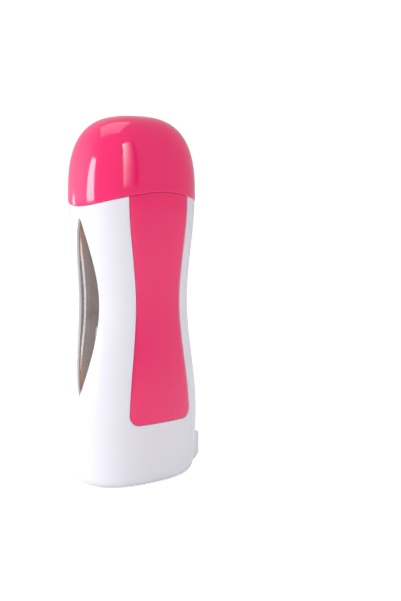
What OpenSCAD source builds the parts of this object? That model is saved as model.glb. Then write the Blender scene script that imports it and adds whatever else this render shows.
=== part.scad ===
// Handheld roll-on wax heater: a waisted two-shell housing with a heated well, a wax cartridge and a cap.
// Frame: the origin is the middle of the flat base, +Z is up, X runs across the broad face, the front is -Y.

/* [Wax cartridge] */
// Width of the cartridge body
cartridge_w = 53.2; // [44:0.1:64]
// Depth of the cartridge body
cartridge_d = 35.6; // [30:0.1:43]
// Corner radius of the cartridge body
cartridge_r = 12.2; // [9:0.1:14.5]
// Wall of the cartridge bottle
bottle_wall = 1.2; // [0.9:0.1:1.6]
// Empty height above the wax in the bottle
wax_headroom = 14; // [8:1:24]

/* [Roller] */
// Radius of the roller
roller_r = 8.5; // [7:0.1:9.5]
// Length of the roller
roller_length = 44; // [36:0.5:46]
// Radius of the stub axles on the roller
stub_r = 2; // [1.6:0.1:2.6]
// Height of the roller axis above the bottle's mouth
roller_rise = 22; // [19:0.5:26]
// Thickness of the cheeks that carry the roller
cheek = 3; // [2.4:0.1:3.6]

/* [Body] */
// Height of the housing where the cap begins, on average round the rim
body_height = 164.4; // [137:0.1:198]
// Height of the waist, the narrowest level
waist_z = 105.4; // [90:0.1:115]
// Height of the widest level above the base
bulge_z = 39; // [34:0.1:46]
// How much wider than the waist the widest level is, each side
bulge_flare_w = 6.8; // [4:0.1:9]
// How much deeper than the waist the widest level is, each side
bulge_flare_d = 2.8; // [1.5:0.1:5]
// How much wider than the waist the shoulder is, each side
shoulder_flare_w = 5.5; // [3:0.1:8]
// How much deeper than the waist the shoulder is, each side
shoulder_flare_d = 2; // [1:0.1:4]
// Exponent of the oval section: 2 is an ellipse, larger is squarer
oval_power = 2.45; // [2.1:0.05:3]
// Width at the base as a share of the widest level
base_taper = 0.93; // [0.88:0.01:1]
// Radius of the edge round the base
base_round = 7; // [5:0.1:9]
// Wall of the two shells
shell_wall = 2.2; // [1.9:0.1:2.7]
// Rise and fall of the rim: high at the front and back, low at the sides
rim_wave = 3.9; // [1:0.1:6]

/* [Cap] */
// Wall of the cap
cap_wall = 2; // [1.6:0.1:2.4]
// Free height between the roller and the cap
cap_headroom = 7.5; // [5:0.1:10]
// Gap between the cap's edge and the housing's rim
cap_gap = 0.35; // [0.3:0.05:0.6]
// How far the cap stands proud of the housing
cap_proud = 0.4; // [0:0.05:0.5]
// Exponent of the dome: larger is squarer
dome_power = 2.83; // [2.2:0.01:3.4]

/* [Colour panels] */
// Thickness of the panels let into the front and back
panel_t = 1.05; // [0.8:0.05:1.2]
// Half width of a panel at the shoulder
panel_top = 22.1; // [18:0.1:26]
// Half width of a panel at the waist
panel_waist = 16.6; // [13:0.1:20]
// Half width of a panel at its lower edge
panel_foot = 23; // [18:0.1:26]
// Height of a panel's lower edge
panel_z = 36.3; // [32:0.1:42]
// Radius of a panel's lower corners
panel_r = 6; // [3:0.1:9]
// Clearance round a panel
panel_gap = 0.15; // [0.1:0.05:0.3]

/* [Windows] */
// Half width of the side windows at their middle
window_half = 9.2; // [7:0.1:11]
// Height of the lower tip of the windows
window_low = 53; // [50:0.5:60]
// Distance from the top of the housing down to the upper tip of the windows
window_top_gap = 9.9; // [8:0.1:20]
// Clearance round a window
window_gap = 0.12; // [0.1:0.01:0.2]
// Width of the flange that holds a window behind the shells
window_flange = 1.4; // [1:0.1:2]
// Depth of the lens's face below the shells' surface
window_sink = 1.3; // [0.1:0.1:1.5]

/* [Heated well] */
// Sheet thickness of the well
well_wall = 1; // [0.8:0.1:1.2]
// Clearance between the cartridge and the well, each side
well_gap = 0.8; // [0.5:0.1:1]
// Room between the well and the housing's wall at the waist, on the narrow sides
side_room = 3.2; // [3.2:0.1:5]
// Room between the well and the housing's wall at the waist, on the broad sides
face_room = 2.7; // [2.7:0.1:4]
// Height of the shelf that the well stands on
seat_z = 44.4; // [42:0.1:50]
// Thickness of a heater plate
heater_t = 2.2; // [1.8:0.1:2.3]
// Width of a heater plate
heater_w = 24; // [18:0.5:26]
// Height of a heater plate
heater_h = 20; // [14:0.5:24]

/* [Mains inlet] */
// Radius of the inlet's two pins
pin_r = 1.2; // [1:0.01:1.4]
// Distance between the pins
pin_spacing = 8.6; // [8:0.1:9.4]
// Length of each pin inside the socket
pin_length = 10.9; // [9:0.1:11.5]
// Depth of the socket
socket_depth = 13; // [12:0.1:14]
// Height of the middle of the inlet above the base
inlet_z = 13.75; // [13.5:0.05:16]
// Width of the inlet block
inlet_w = 21.2; // [20.5:0.1:24]
// Height of the inlet block
inlet_h = 18.5; // [16.5:0.1:18.6]
// How far the inlet block stands out from the widest level
inlet_proud = 2.6; // [2:0.1:5]

/* [Base and screws] */
// Thickness of the base cover
base_t = 1.8; // [1.6:0.1:2.2]
// Thickness of the shells' floor above the base cover
floor_t = 1.8; // [1.5:0.1:2.2]
// Radius of the screws' shanks
screw_r = 1.25; // [1:0.05:1.5]
// Radius of the screws' heads
head_r = 2.5; // [2.2:0.1:2.8]
// Radius of the screw bosses
boss_r = 3.3; // [3:0.1:3.8]

/* [Hidden] */
$fn = 48;

// columns round the oval sections, and a small overlap for cuts
columns = 48;
eps = 0.01;
// clearance between pieces that only touch, and round a screw or a pin
touch = 0.1;
fit = 0.05;

// half sizes of the cartridge, the well and the housing, from the inside out
well_in_w = cartridge_w / 2 + well_gap;
well_in_d = cartridge_d / 2 + well_gap;
well_out_w = well_in_w + well_wall;
well_out_d = well_in_d + well_wall;
waist_w = well_out_w + side_room + shell_wall;
waist_d = well_out_d + face_room + shell_wall;
bulge_w = waist_w + bulge_flare_w;
bulge_d = waist_d + bulge_flare_d;
shoulder_w = waist_w + shoulder_flare_w;
shoulder_d = waist_d + shoulder_flare_d;

// heights, from the well's shelf up to the top of the cap
seat_t = 2;
well_z = seat_z + seat_t + 0.6;
cartridge_z = well_z + well_wall + 0.3;
collar_top = body_height + 6.6;
window_high = body_height - window_top_gap;
collar_foot = window_high + window_flange + 0.6;
collar_plate = 2;
gasket_t = 1.5;
sleeve_foot = body_height - 4.4;
well_top = sleeve_foot - gasket_t;
bottle_top = collar_top + 1;
roller_z = bottle_top + roller_rise;
height = roller_z + roller_r + cap_headroom + cap_wall;

// the housing's shape
function blend(t) = t * t * (3 - 2 * t);
function sign_power(v, p) = sign(v) * pow(abs(v), p);
function column_angle(i) = 360 * i / columns;
function unit_x(i) = sign_power(cos(column_angle(i)), 2 / oval_power);
function unit_y(i) = sign_power(sin(column_angle(i)), 2 / oval_power);
function dome(z, size, inset) =
    let (t = min((z - body_height) / (height - body_height - max(inset, 0)), 1))
    (size - inset) * pow(1 - pow(t, dome_power), 1 / dome_power);
function flank(z, at_shoulder, at_waist, at_bulge) =
    z > waist_z ? at_waist + (at_shoulder - at_waist) * blend((z - waist_z) / (body_height - waist_z))
    : z > bulge_z ? at_waist + (at_bulge - at_waist) * blend((waist_z - z) / (waist_z - bulge_z))
    : at_bulge * (1 - (1 - base_taper) * pow((bulge_z - z) / bulge_z, 2));
function tuck(z, inset) =
    let (r = base_round - max(inset, 0))
    z < base_round ? r * (1 - sqrt(max(1 - pow((base_round - z) / r, 2), 0))) : 0;
function half_w(z, inset = 0) =
    z > body_height ? dome(z, shoulder_w, inset)
    : flank(z, shoulder_w, waist_w, bulge_w) - inset - tuck(z, inset);
function half_d(z, inset = 0) =
    z > body_height ? dome(z, shoulder_d, inset)
    : flank(z, shoulder_d, waist_d, bulge_d) - inset - tuck(z, inset);
function face_y(x, z, inset = 0) =
    half_d(z, inset) * pow(1 - pow(abs(x) / half_w(z, inset), oval_power), 1 / oval_power);
function rim_z(i) = body_height - rim_wave * cos(2 * atan2(abs(unit_y(i)), abs(unit_x(i))));

// rings of points: at one level, at a share of the way from a level to the rim, and at a given size
function level_ring(z, inset) =
    [for (i = [0:columns - 1]) [half_w(z, inset) * unit_x(i), half_d(z, inset) * unit_y(i), z]];
function rim_ring(from, share, gap, inset) =
    [for (i = [0:columns - 1]) let (z = from + (rim_z(i) - gap - from) * share)
        [half_w(z, inset) * unit_x(i), half_d(z, inset) * unit_y(i), z]];
function plain_ring(w, d, z) =
    [for (i = [0:columns - 1]) [w * unit_x(i), d * unit_y(i), z]];
function reversed(list) = [for (i = [len(list) - 1:-1:0]) list[i]];

// levels of the housing below its rim, and of the dome above the rim
rim_start = body_height - 12;
round_levels = [for (a = [0:18:72]) base_round * (1 - sin(90 - a))];
flank_steps = 12;
flank_levels = [for (k = [0:flank_steps]) base_round + (rim_start - base_round) * k / flank_steps];
dome_start = body_height + rim_wave + 2;
dome_angles = [for (a = [10:9:82]) a];
function dome_z(a, inset) =
    body_height + (height - body_height - max(inset, 0)) * pow(sin(a), 2 / dome_power);
function dome_ring(a, inset) =
    plain_ring((shoulder_w - inset) * pow(cos(a), 2 / dome_power),
        (shoulder_d - inset) * pow(cos(a), 2 / dome_power), dome_z(a, inset));
function top_ring(inset) =
    let (share = pow(cos(86), 2 / dome_power))
    plain_ring((shoulder_w - inset) * share, (shoulder_d - inset) * share, height - max(inset, 0));
function body_rings(from, inset, gap = cap_gap) =
    concat([for (z = concat(round_levels, flank_levels)) if (z > from + 0.5) level_ring(z, inset)],
        [for (k = [1:3]) rim_ring(rim_start, k / 3, gap, inset)]);
function cap_rings(inset) =
    concat([for (k = [0:1]) rim_ring(dome_start, 1 - k / 2, 0, inset)],
        [for (a = dome_angles) dome_ring(a, inset)], [top_ring(inset)]);

// a skin through rings of points: closed on itself, or with a flat face at both ends
module skin(rings, ring_shaped) {
    n = len(rings[0]);
    last = len(rings) - 1;
    sides = [for (k = [0:ring_shaped ? last : last - 1], i = [0:n - 1])
        let (p = k * n, q = ((k + 1) % len(rings)) * n, j = (i + 1) % n)
        each [[p + i, q + i, q + j], [p + i, q + j, p + j]]];
    ends = ring_shaped ? [] : [[for (i = [0:n - 1]) i], [for (i = [n - 1:-1:0]) last * n + i]];
    polyhedron(points = [for (ring = rings) each ring], faces = concat(sides, ends), convexity = 8);
}

// the layer of the housing between two depths below its surface, from a level up to the rim
module layer(from, outer, inner, gap = cap_gap) {
    skin(concat([level_ring(from, outer)], body_rings(from, outer, gap),
        reversed(body_rings(from, inner, gap)), [level_ring(from, inner)]), true);
}

// a flat oval of the housing's own section
module oval(w, d) {
    polygon([for (i = [0:columns - 1]) [w * unit_x(i), d * unit_y(i)]]);
}

// a flat rectangle with round corners, from half sizes
module rounded(w, d, r) {
    square([2 * (w - r), 2 * d], center = true);
    square([2 * w, 2 * (d - r)], center = true);
    for (x = [-1, 1], y = [-1, 1]) translate([x * (w - r), y * (d - r)]) circle(r);
}

// a lead of round section through a list of points
lead_r = 0.9;
lead_sides = 8;
module lead(path) {
    last = len(path) - 1;
    rings = [for (k = [0:last])
        let (d = path[min(k + 1, last)] - path[max(k - 1, 0)], a = atan2(d[1], d[0]),
            e = atan2(d[2], norm([d[0], d[1]])))
        [for (i = [0:lead_sides - 1]) let (t = 360 * i / lead_sides)
            path[k] + lead_r * (cos(t) * [-sin(a), cos(a), 0]
                + sin(t) * [-cos(a) * sin(e), -sin(a) * sin(e), cos(e)])]];
    skin(reversed(rings), false);
}

/* ---- the colour panels and what cuts room for them ---- */
function panel_half(z) =
    z > waist_z ? panel_waist + (panel_top - panel_waist) * blend((z - waist_z) / (body_height - waist_z))
    : panel_waist + (panel_foot - panel_waist) * blend((waist_z - z) / (waist_z - panel_z));
module panel_outline(grow) {
    corner = [for (a = [-90:15:0]) [panel_foot - panel_r + (panel_r + grow) * cos(a),
        panel_z + panel_r + (panel_r + grow) * sin(a)]];
    side_foot = panel_z + panel_r;
    side_top = body_height + rim_wave + 4;
    side = [for (k = [1:14]) let (z = side_foot + (side_top - side_foot) * k / 14) [panel_half(z) + grow, z]];
    right = concat(corner, side);
    polygon(concat(right, [for (p = reversed(right)) [-p[0], p[1]]]));
}
module panel_prism(grow) {
    rotate([90, 0, 0]) linear_extrude(2 * bulge_d) panel_outline(grow);
}

// the hooks that snap a panel into its shell: four heights, two sides
hook = 3;
hook_depth = shell_wall + 0.4;
hook_levels = [for (k = [0:3]) panel_z + 13 + (body_height - 14 - panel_z - 13) * k / 3];
module panel_hooks(grow) {
    for (z = hook_levels, side = [-1, 1]) {
        x = side * (panel_half(z) - 2 - hook / 2);
        y = -face_y(x, z);
        hull() {
            translate([x - hook / 2 - grow, y + panel_t - 0.4, z - hook / 2 - grow])
                cube([hook + 2 * grow, eps, hook + 2 * grow]);
            translate([x - hook / 2 - grow, y + hook_depth + grow, z - hook / 3 - grow])
                cube([hook + 2 * grow, 0.6, hook * 2 / 3 + 2 * grow]);
        }
    }
}
module panel() {
    intersection() {
        layer(panel_z - 4, 0, panel_t);
        panel_prism(0);
    }
    panel_hooks(0);
}
module front_panel() {
    color("#e6406e") panel();
}
module rear_panel() {
    color("#e6406e") rotate([0, 0, 180]) panel();
}

/* ---- the side windows ---- */
window_mid = (window_high + window_low) / 2;
window_steps = 14;
function window_edge(z, grow) =
    let (t = (z - window_mid) / ((window_high - window_low) / 2 + grow))
    window_half * pow(max(1 - t * t, 0), 0.9) + grow;
module window_slice(k, grow) {
    reach = (window_high - window_low) / 2 * 0.985 + grow;
    z = window_mid - reach * cos(180 * k / window_steps);
    half = window_edge(z, grow);
    translate([waist_w / 2, -half, z - eps / 2]) cube([bulge_w, 2 * half, eps]);
}
module window_prism(grow) {
    for (k = [0:window_steps - 1]) hull() {
        window_slice(k, grow);
        window_slice(k + 1, grow);
    }
}
module window() {
    intersection() {
        layer(window_low - 4, window_sink, shell_wall + 0.5);
        window_prism(0);
    }
    intersection() {
        layer(window_low - 4, shell_wall + touch, shell_wall + touch + 1);
        window_prism(window_flange);
    }
}
module left_window() {
    color([0.45, 0.42, 0.4, 0.6]) rotate([0, 0, 180]) window();
}
module right_window() {
    color([0.45, 0.42, 0.4, 0.6]) window();
}

/* ---- the two shells ---- */
seam = 0.1;
// half size of the base cover, and of the hole in the floor above it
cover_w = half_w(0) - 3;
cover_d = half_d(0) - 3;
hatch_w = cover_w - 9.7;
hatch_d = cover_d - 7.4;
// the screws under the base, and those across the two shells
base_screw_x = cover_w - 6.7;
base_screw_y = cover_d - 6.9;
base_boss_h = 7;
shell_screw_x = panel_foot - 6;
shell_screw_z = seat_z - 6.4;
shell_screw_seat = panel_t + 1.8;
head_h = 0.9;
module shell_skin() {
    floor_z = base_t + floor_t;
    inside = reversed(body_rings(floor_z, shell_wall));
    skin(concat([level_ring(0, 0)], body_rings(0, 0), inside,
        [level_ring(floor_z, shell_wall), plain_ring(hatch_w, hatch_d, floor_z),
            plain_ring(hatch_w, hatch_d, base_t), plain_ring(cover_w + touch, cover_d + touch, base_t),
            plain_ring(cover_w + touch, cover_d + touch, 0)]), true);
}
// a boss along Y from the front wall to the seam, with four webs that run out on the wall
module shell_boss(x) {
    wall_y = -face_y(abs(x) + boss_r, shell_screw_z, shell_wall - 0.4);
    translate([x, 0, shell_screw_z]) rotate([90, 0, 0]) cylinder(r = boss_r, h = -wall_y);
    for (a = [0:90:270]) translate([x, 0, shell_screw_z]) rotate([0, a, 0]) hull() {
        translate([boss_r - 1, wall_y, -0.5]) cube([2.6, eps, 1]);
        translate([boss_r - 1, wall_y + 7, -0.5]) cube([0.8, eps, 1]);
    }
}
module base_boss(x, y) {
    translate([x, y, base_t + eps]) cylinder(r = boss_r - 0.3, h = base_boss_h);
}
// shelves that hold the well's seat from below and from above
shelf_h = 1.5;
module seat_shelves() {
    for (z = [seat_z - touch - shelf_h, seat_z + seat_t + touch]) translate([0, 0, z])
        linear_extrude(shelf_h) difference() {
            oval(half_w(z, shell_wall - 0.4), half_d(z, shell_wall - 0.4));
            oval(half_w(z, shell_wall + 2.2), half_d(z, shell_wall + 2.2));
        }
}
module inlet_hole() {
    translate([half_w(inlet_z) / 2, -inlet_w / 2 - panel_gap, inlet_z - inlet_h / 2 - panel_gap])
        cube([bulge_w, inlet_w + 2 * panel_gap, inlet_h + 2 * panel_gap]);
}
module half_shell(rear) {
    difference() {
        union() {
            shell_skin();
            for (side = [-1, 1]) {
                shell_boss(side * shell_screw_x);
                base_boss(side * base_screw_x, -base_screw_y);
            }
            seat_shelves();
        }
        translate([-2 * bulge_w, -seam / 2, -eps]) cube([4 * bulge_w, 2 * bulge_d, height]);
        intersection() {
            layer(panel_z - 4, -2, panel_t + panel_gap, -2);
            panel_prism(panel_gap);
        }
        panel_hooks(panel_gap);
        for (turn = [0, 180]) rotate([0, 0, turn]) window_prism(window_gap);
        rotate([0, 0, rear ? 180 : 0]) inlet_hole();
        hole_y = rear ? -face_y(shell_screw_x, shell_screw_z, shell_screw_seat) : -9;
        for (side = [-1, 1]) {
            translate([side * shell_screw_x, hole_y, shell_screw_z]) {
                rotate([-90, 0, 0]) cylinder(r = screw_r + fit, h = bulge_d);
                if (rear) rotate([90, 0, 0]) cylinder(r = head_r + 2 * touch, h = 9);
            }
            translate([side * base_screw_x, -base_screw_y, 0])
                cylinder(r = screw_r + fit, h = base_t + base_boss_h - 1);
        }
    }
}
module front_shell() {
    color("#f4f3f8") half_shell(false);
}
module rear_shell() {
    color("#f4f3f8") rotate([0, 0, 180]) half_shell(true);
}

/* ---- fasteners: two lengths of the same pan-head screw ---- */
module screw(length) {
    difference() {
        union() {
            cylinder(r = head_r, h = head_h);
            translate([0, 0, head_h - eps]) cylinder(r = screw_r, h = length);
        }
        for (turn = [0, 90]) rotate([0, 0, turn]) translate([-1.3, -0.3, -eps]) cube([2.6, 0.6, 0.6]);
    }
}
module base_screws() {
    color("silver") for (x = [-1, 1], y = [-1, 1])
        translate([x * base_screw_x, y * base_screw_y, 0.2]) screw(base_boss_h - 1.2);
}
module shell_screws() {
    head_y = face_y(shell_screw_x, shell_screw_z, shell_screw_seat) + touch / 2;
    color("silver") for (x = [-1, 1])
        translate([x * shell_screw_x, head_y + head_h, shell_screw_z]) rotate([90, 0, 0]) screw(head_y + 7);
}

/* ---- base cover with the posts for the board ---- */
board_z = 28;
board_w = 18;
board_d = 10;
board_t = 1.6;
post_x = hatch_w - 7;
post_y = hatch_d - 4.5;
module base_cover() {
    vent = [1.5, 10];
    vent_pitch = 4;
    color("#f4f3f8") difference() {
        union() {
            linear_extrude(base_t - touch / 2) oval(cover_w, cover_d);
            for (x = [-1, 1], y = [-1, 1]) translate([x * post_x, y * post_y, 0]) {
                cylinder(r = 2, h = board_z);
                cylinder(r = 0.8, h = board_z + board_t + 0.6);
            }
        }
        for (x = [-1, 1], y = [-1, 1]) translate([x * base_screw_x, y * base_screw_y, -eps]) {
            cylinder(r = head_r + touch, h = head_h + 0.3);
            cylinder(r = screw_r + touch, h = 3);
        }
        for (k = [-2:2]) translate([k * vent_pitch - vent[0] / 2, -vent[1] / 2, -eps])
            cube([vent[0], vent[1], 3]);
    }
}

/* ---- electrics ---- */
module circuit_board() {
    color("#2f6b3a") difference() {
        translate([-board_w, -board_d, board_z]) cube([2 * board_w, 2 * board_d, board_t]);
        for (x = [-1, 1], y = [-1, 1]) translate([x * post_x, y * post_y, board_z - 1])
            cylinder(r = 0.9, h = 4);
    }
}
module capacitor() {
    color("#caa23c") translate([-3, -4.2, board_z + board_t]) cube([10, 8.4, 8.5]);
}
module thermostat() {
    disc_h = 4.2;
    color("#3a3330") translate([-9, 0, well_z - disc_h]) {
        cylinder(r = 6.2, h = disc_h);
        for (x = [-3, 3]) translate([x - 0.4, -1.6, -4]) cube([0.8, 3.2, 4 + eps]);
    }
}
module thermal_fuse() {
    fuse_r = 1.9;
    color("#d8d4cc") translate([5, 0, well_z - fuse_r]) rotate([0, 90, 0]) {
        cylinder(r = fuse_r, h = 9);
        translate([0, 0, -3]) cylinder(r = 0.5, h = 15);
    }
}
lamp_r = 1.5;
module indicator_lamp() {
    color("#ff6a2a") translate([-(well_out_w + lamp_r + 2.2), 0, seat_z + seat_t]) {
        cylinder(r = lamp_r + 0.4, h = 1);
        cylinder(r = lamp_r, h = 4.6);
        translate([0, 0, 4.6]) sphere(r = lamp_r);
    }
}

// the inlet: a block through the right side, with a figure-of-eight socket that opens to +X
inlet_face = bulge_w + inlet_proud;
inlet_back = inlet_face - socket_depth - 5.6;
socket_floor = inlet_face - socket_depth;
socket_r = 4.4;
socket_waist = 7;
module mains_inlet() {
    low = -inlet_h / 2;
    high = inlet_h / 2;
    chamfer_in = 3.6;
    chamfer_up = 4.7;
    color("#eeedf2") translate([0, 0, inlet_z]) difference() {
        union() {
            intersection() {
                translate([0, inlet_w / 2, 0]) rotate([90, 0, 0]) linear_extrude(inlet_w)
                    polygon([[inlet_back, low], [inlet_face - chamfer_in, low], [inlet_face, low + chamfer_up],
                        [inlet_face, high - 1], [inlet_face - 1, high], [inlet_back, high]]);
                translate([inlet_back, 0, 0]) rotate([90, 0, 90]) linear_extrude(inlet_face - inlet_back)
                    rounded(inlet_w / 2, inlet_h / 2, 2.5);
            }
            translate([inlet_back + 2, -inlet_w / 2 - 1.2, low + 0.4]) cube([3, inlet_w + 2.4, inlet_h + 0.8]);
        }
        translate([socket_floor, 0, 0]) rotate([0, 90, 0]) {
            for (side = [-1, 1]) translate([0, side * pin_spacing / 2, 0])
                cylinder(r = socket_r, h = socket_depth + 1);
            translate([-socket_waist / 2, -pin_spacing / 2, 0])
                cube([socket_waist, pin_spacing, socket_depth + 1]);
        }
        for (side = [-1, 1]) translate([inlet_back - 1, side * pin_spacing / 2, 0])
            rotate([0, 90, 0]) cylinder(r = pin_r - 0.15, h = socket_depth);
    }
}
module inlet_pins() {
    color("silver") for (side = [-1, 1]) translate([0, side * pin_spacing / 2, inlet_z]) {
        translate([socket_floor, 0, 0]) rotate([0, 90, 0]) cylinder(r = pin_r, h = pin_length);
        translate([inlet_back - 0.5, 0, 0]) rotate([0, 90, 0])
            cylinder(r = pin_r - 0.2, h = socket_floor - inlet_back + 0.5);
        translate([inlet_back - 2.5, -1.6, -0.4]) cube([2, 3.2, 0.8]);
    }
}

// leads: two from the inlet's tags up to the board, two from the board up to the heaters
tag_x = inlet_back - 2.5 - lead_r;
module inlet_lead(side) {
    y = side * pin_spacing / 2;
    lead([[tag_x + 0.8, y, inlet_z], [tag_x - 2, y, inlet_z + 0.4], [tag_x - 4.5, y, inlet_z + 2],
        [tag_x - 5.8, y + side, inlet_z + 5], [tag_x - 6, y + 2 * side, board_z - 4],
        [tag_x - 6, y + 2 * side, board_z - touch]]);
}
module live_lead() {
    color("#7a4a2a") inlet_lead(1);
}
module neutral_lead() {
    color("#2c5aa0") inlet_lead(-1);
}
heater_y = well_out_d + touch + heater_t / 2;
heater_z = well_z + 3;
module heater_lead(side) {
    top = board_z + board_t;
    lead([[8, side * 8, top + touch], [8, side * 8, top + 3], [8, side * (heater_y - 9), top + 6],
        [7, side * (heater_y - 4), top + 9], [6, side * (heater_y - 1), top + 12],
        [6, side * heater_y, heater_z - 3], [6, side * heater_y, heater_z - touch]]);
}
module front_heater_lead() {
    color("#b8322c") heater_lead(-1);
}
module rear_heater_lead() {
    color("#b8322c") heater_lead(1);
}

/* ---- heated well ---- */
sight_half = 5.5;
module heated_well() {
    r_in = cartridge_r + well_gap;
    sight_low = window_low + 4;
    sight_high = min(window_high, well_top) - 4;
    color("#c9c9cc") difference() {
        translate([0, 0, well_z]) linear_extrude(well_top - well_z)
            rounded(well_out_w, well_out_d, r_in + well_wall);
        translate([0, 0, well_z + well_wall]) linear_extrude(well_top)
            rounded(well_in_w, well_in_d, r_in);
        translate([-2 * well_out_w, -sight_half, sight_low])
            cube([4 * well_out_w, 2 * sight_half, sight_high - sight_low]);
    }
}
module well_gasket() {
    color("#5a5a5e") translate([0, 0, well_top]) linear_extrude(gasket_t) difference() {
        rounded(well_out_w + 0.6, well_out_d + 0.6, cartridge_r + well_gap + well_wall + 0.6);
        rounded(well_in_w, well_in_d, cartridge_r + well_gap);
    }
}
module well_seat() {
    rim = 1.2;
    r_out = cartridge_r + well_gap + well_wall;
    seat_in = shell_wall + 0.3;
    color("#d9c9a8") difference() {
        union() {
            translate([0, 0, seat_z]) linear_extrude(seat_t)
                oval(half_w(seat_z, seat_in), half_d(seat_z, seat_in));
            translate([0, 0, seat_z + eps]) linear_extrude(seat_t + 2.6)
                rounded(well_out_w + touch + rim, well_out_d + touch + rim, r_out + rim);
        }
        translate([0, 0, well_z]) linear_extrude(seat_t + 5)
            rounded(well_out_w + touch, well_out_d + touch, r_out + touch);
        translate([0, 0, seat_z - 1]) linear_extrude(seat_t + 5)
            rounded(well_out_w - 5, well_out_d - 5, r_out - 5);
        for (side = [-1, 1]) translate([2, side * heater_y - 3, seat_z - 1]) cube([8, 6, seat_t + 6]);
    }
}
module heater(side) {
    color("#b9bcc2") translate([-heater_w / 2, side * heater_y - heater_t / 2, heater_z])
        cube([heater_w, heater_t, heater_h]);
}
module front_heater() {
    heater(-1);
}
module rear_heater() {
    heater(1);
}
// a spring clip over each heater: a bridge with two feet on the well
module heater_clips() {
    sheet = 0.5;
    top = heater_t + 2 * touch;
    half = heater_w / 2 + touch;
    foot = 3;
    color("#9c9ea3") for (side = [-1, 1]) scale([1, side, 1])
        translate([0, well_out_d + fit, heater_z + heater_h / 2 - 4]) linear_extrude(8)
        polygon([[-half - sheet - foot, 0], [-half, 0], [-half, top], [half, top], [half, 0],
            [half + sheet + foot, 0], [half + sheet + foot, sheet], [half + sheet, sheet],
            [half + sheet, top + sheet], [-half - sheet, top + sheet], [-half - sheet, sheet],
            [-half - sheet - foot, sheet]]);
}

/* ---- collar that guides the cartridge and carries the cap ---- */
collar_in = shell_wall + 0.2;
collar_w = half_w(collar_foot, collar_in);
collar_d = half_d(collar_foot, collar_in);
collar_wall = 1.6;
module top_collar() {
    sleeve_wall = 1.6;
    r_in = cartridge_r + well_gap;
    color("#f4f3f8") difference() {
        union() {
            difference() {
                translate([0, 0, collar_foot]) linear_extrude(collar_top - collar_foot)
                    oval(collar_w, collar_d);
                translate([0, 0, collar_foot - 1]) linear_extrude(collar_top - collar_foot + 1 - collar_plate)
                    oval(collar_w - collar_wall, collar_d - collar_wall);
            }
            translate([0, 0, sleeve_foot]) linear_extrude(collar_top - sleeve_foot)
                rounded(well_in_w + sleeve_wall, well_in_d + sleeve_wall, r_in + sleeve_wall);
        }
        translate([0, 0, sleeve_foot - 1]) linear_extrude(collar_top) rounded(well_in_w, well_in_d, r_in);
    }
}

/* ---- cartridge ---- */
frame_w = roller_length / 2 + 0.4 + cheek;
frame_d = roller_r + 4.5;
plug_h = 4;
module cartridge_bottle() {
    w = cartridge_w / 2;
    d = cartridge_d / 2;
    color([0.95, 0.93, 0.88, 0.5]) difference() {
        translate([0, 0, cartridge_z]) linear_extrude(bottle_top - cartridge_z) rounded(w, d, cartridge_r);
        translate([0, 0, cartridge_z + bottle_wall]) linear_extrude(bottle_top)
            rounded(w - bottle_wall, d - bottle_wall, cartridge_r - bottle_wall);
    }
}
module wax_fill() {
    inset = bottle_wall + fit;
    wax_z = cartridge_z + bottle_wall + fit;
    color("#b5702c") translate([0, 0, wax_z]) linear_extrude(bottle_top - wax_headroom - wax_z)
        rounded(cartridge_w / 2 - inset, cartridge_d / 2 - inset, cartridge_r - inset);
}
module roller_frame() {
    inset = bottle_wall + fit;
    cradle_r = roller_r + 0.5;
    deck = 2;
    color("#f6f4ee") difference() {
        union() {
            translate([0, 0, bottle_top - plug_h]) linear_extrude(plug_h)
                rounded(cartridge_w / 2 - inset, cartridge_d / 2 - inset, cartridge_r - inset);
            translate([0, 0, bottle_top]) linear_extrude(deck)
                rounded(cartridge_w / 2, cartridge_d / 2, cartridge_r);
            translate([0, 0, bottle_top]) linear_extrude(roller_rise - 3) rounded(frame_w, frame_d, 5);
            for (side = [-1, 1]) translate([side * (frame_w - cheek / 2), 0, 0]) {
                translate([-cheek / 2, -roller_r + 2, bottle_top + deck])
                    cube([cheek, 2 * roller_r - 4, roller_rise - deck]);
                translate([-cheek / 2, 0, roller_z]) rotate([0, 90, 0]) cylinder(r = roller_r - 2, h = cheek);
            }
        }
        translate([-roller_length / 2 - 0.4, 0, roller_z]) rotate([0, 90, 0])
            cylinder(r = cradle_r, h = roller_length + 0.8);
        translate([-roller_length / 2 + 4, -2.5, bottle_top - plug_h - 1])
            cube([roller_length - 8, 5, roller_rise]);
        translate([-frame_w - 1, 0, roller_z]) rotate([0, 90, 0])
            cylinder(r = stub_r + fit, h = 2 * frame_w + 2);
    }
}
module roller() {
    color("#f2efe6") translate([0, 0, roller_z]) rotate([0, 90, 0]) {
        translate([0, 0, -roller_length / 2]) cylinder(r = roller_r, h = roller_length);
        translate([0, 0, -frame_w + 0.2]) cylinder(r = stub_r, h = 2 * frame_w - 0.4);
    }
}

/* ---- cap ---- */
// ribs inside the cap's skirt centre it on the collar
rib_gap = 0.3;
rib_w = 1.2;
module cap_rib(a) {
    x = collar_w * sign_power(cos(a), 2 / oval_power);
    y = collar_d * sign_power(sin(a), 2 / oval_power);
    out = [x, y] / norm([x, y]);
    low = body_height + rim_wave + 0.5;
    reach = 2.4;
    translate([x, y, low]) rotate([0, 0, atan2(out[1], out[0])]) hull() {
        translate([rib_gap, -rib_w / 2, 1]) cube([reach, rib_w, collar_top - low - 2]);
        translate([rib_gap + 0.6, -rib_w / 2, 0]) cube([reach - 0.6, rib_w, collar_top - low]);
    }
}
module cap() {
    color("#e6406e") union() {
        skin(concat(reversed(cap_rings(cap_wall)), cap_rings(-cap_proud)), false);
        intersection() {
            for (a = [22.5:45:359]) cap_rib(a);
            skin(cap_rings(cap_wall - 0.3), false);
        }
    }
}

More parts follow.
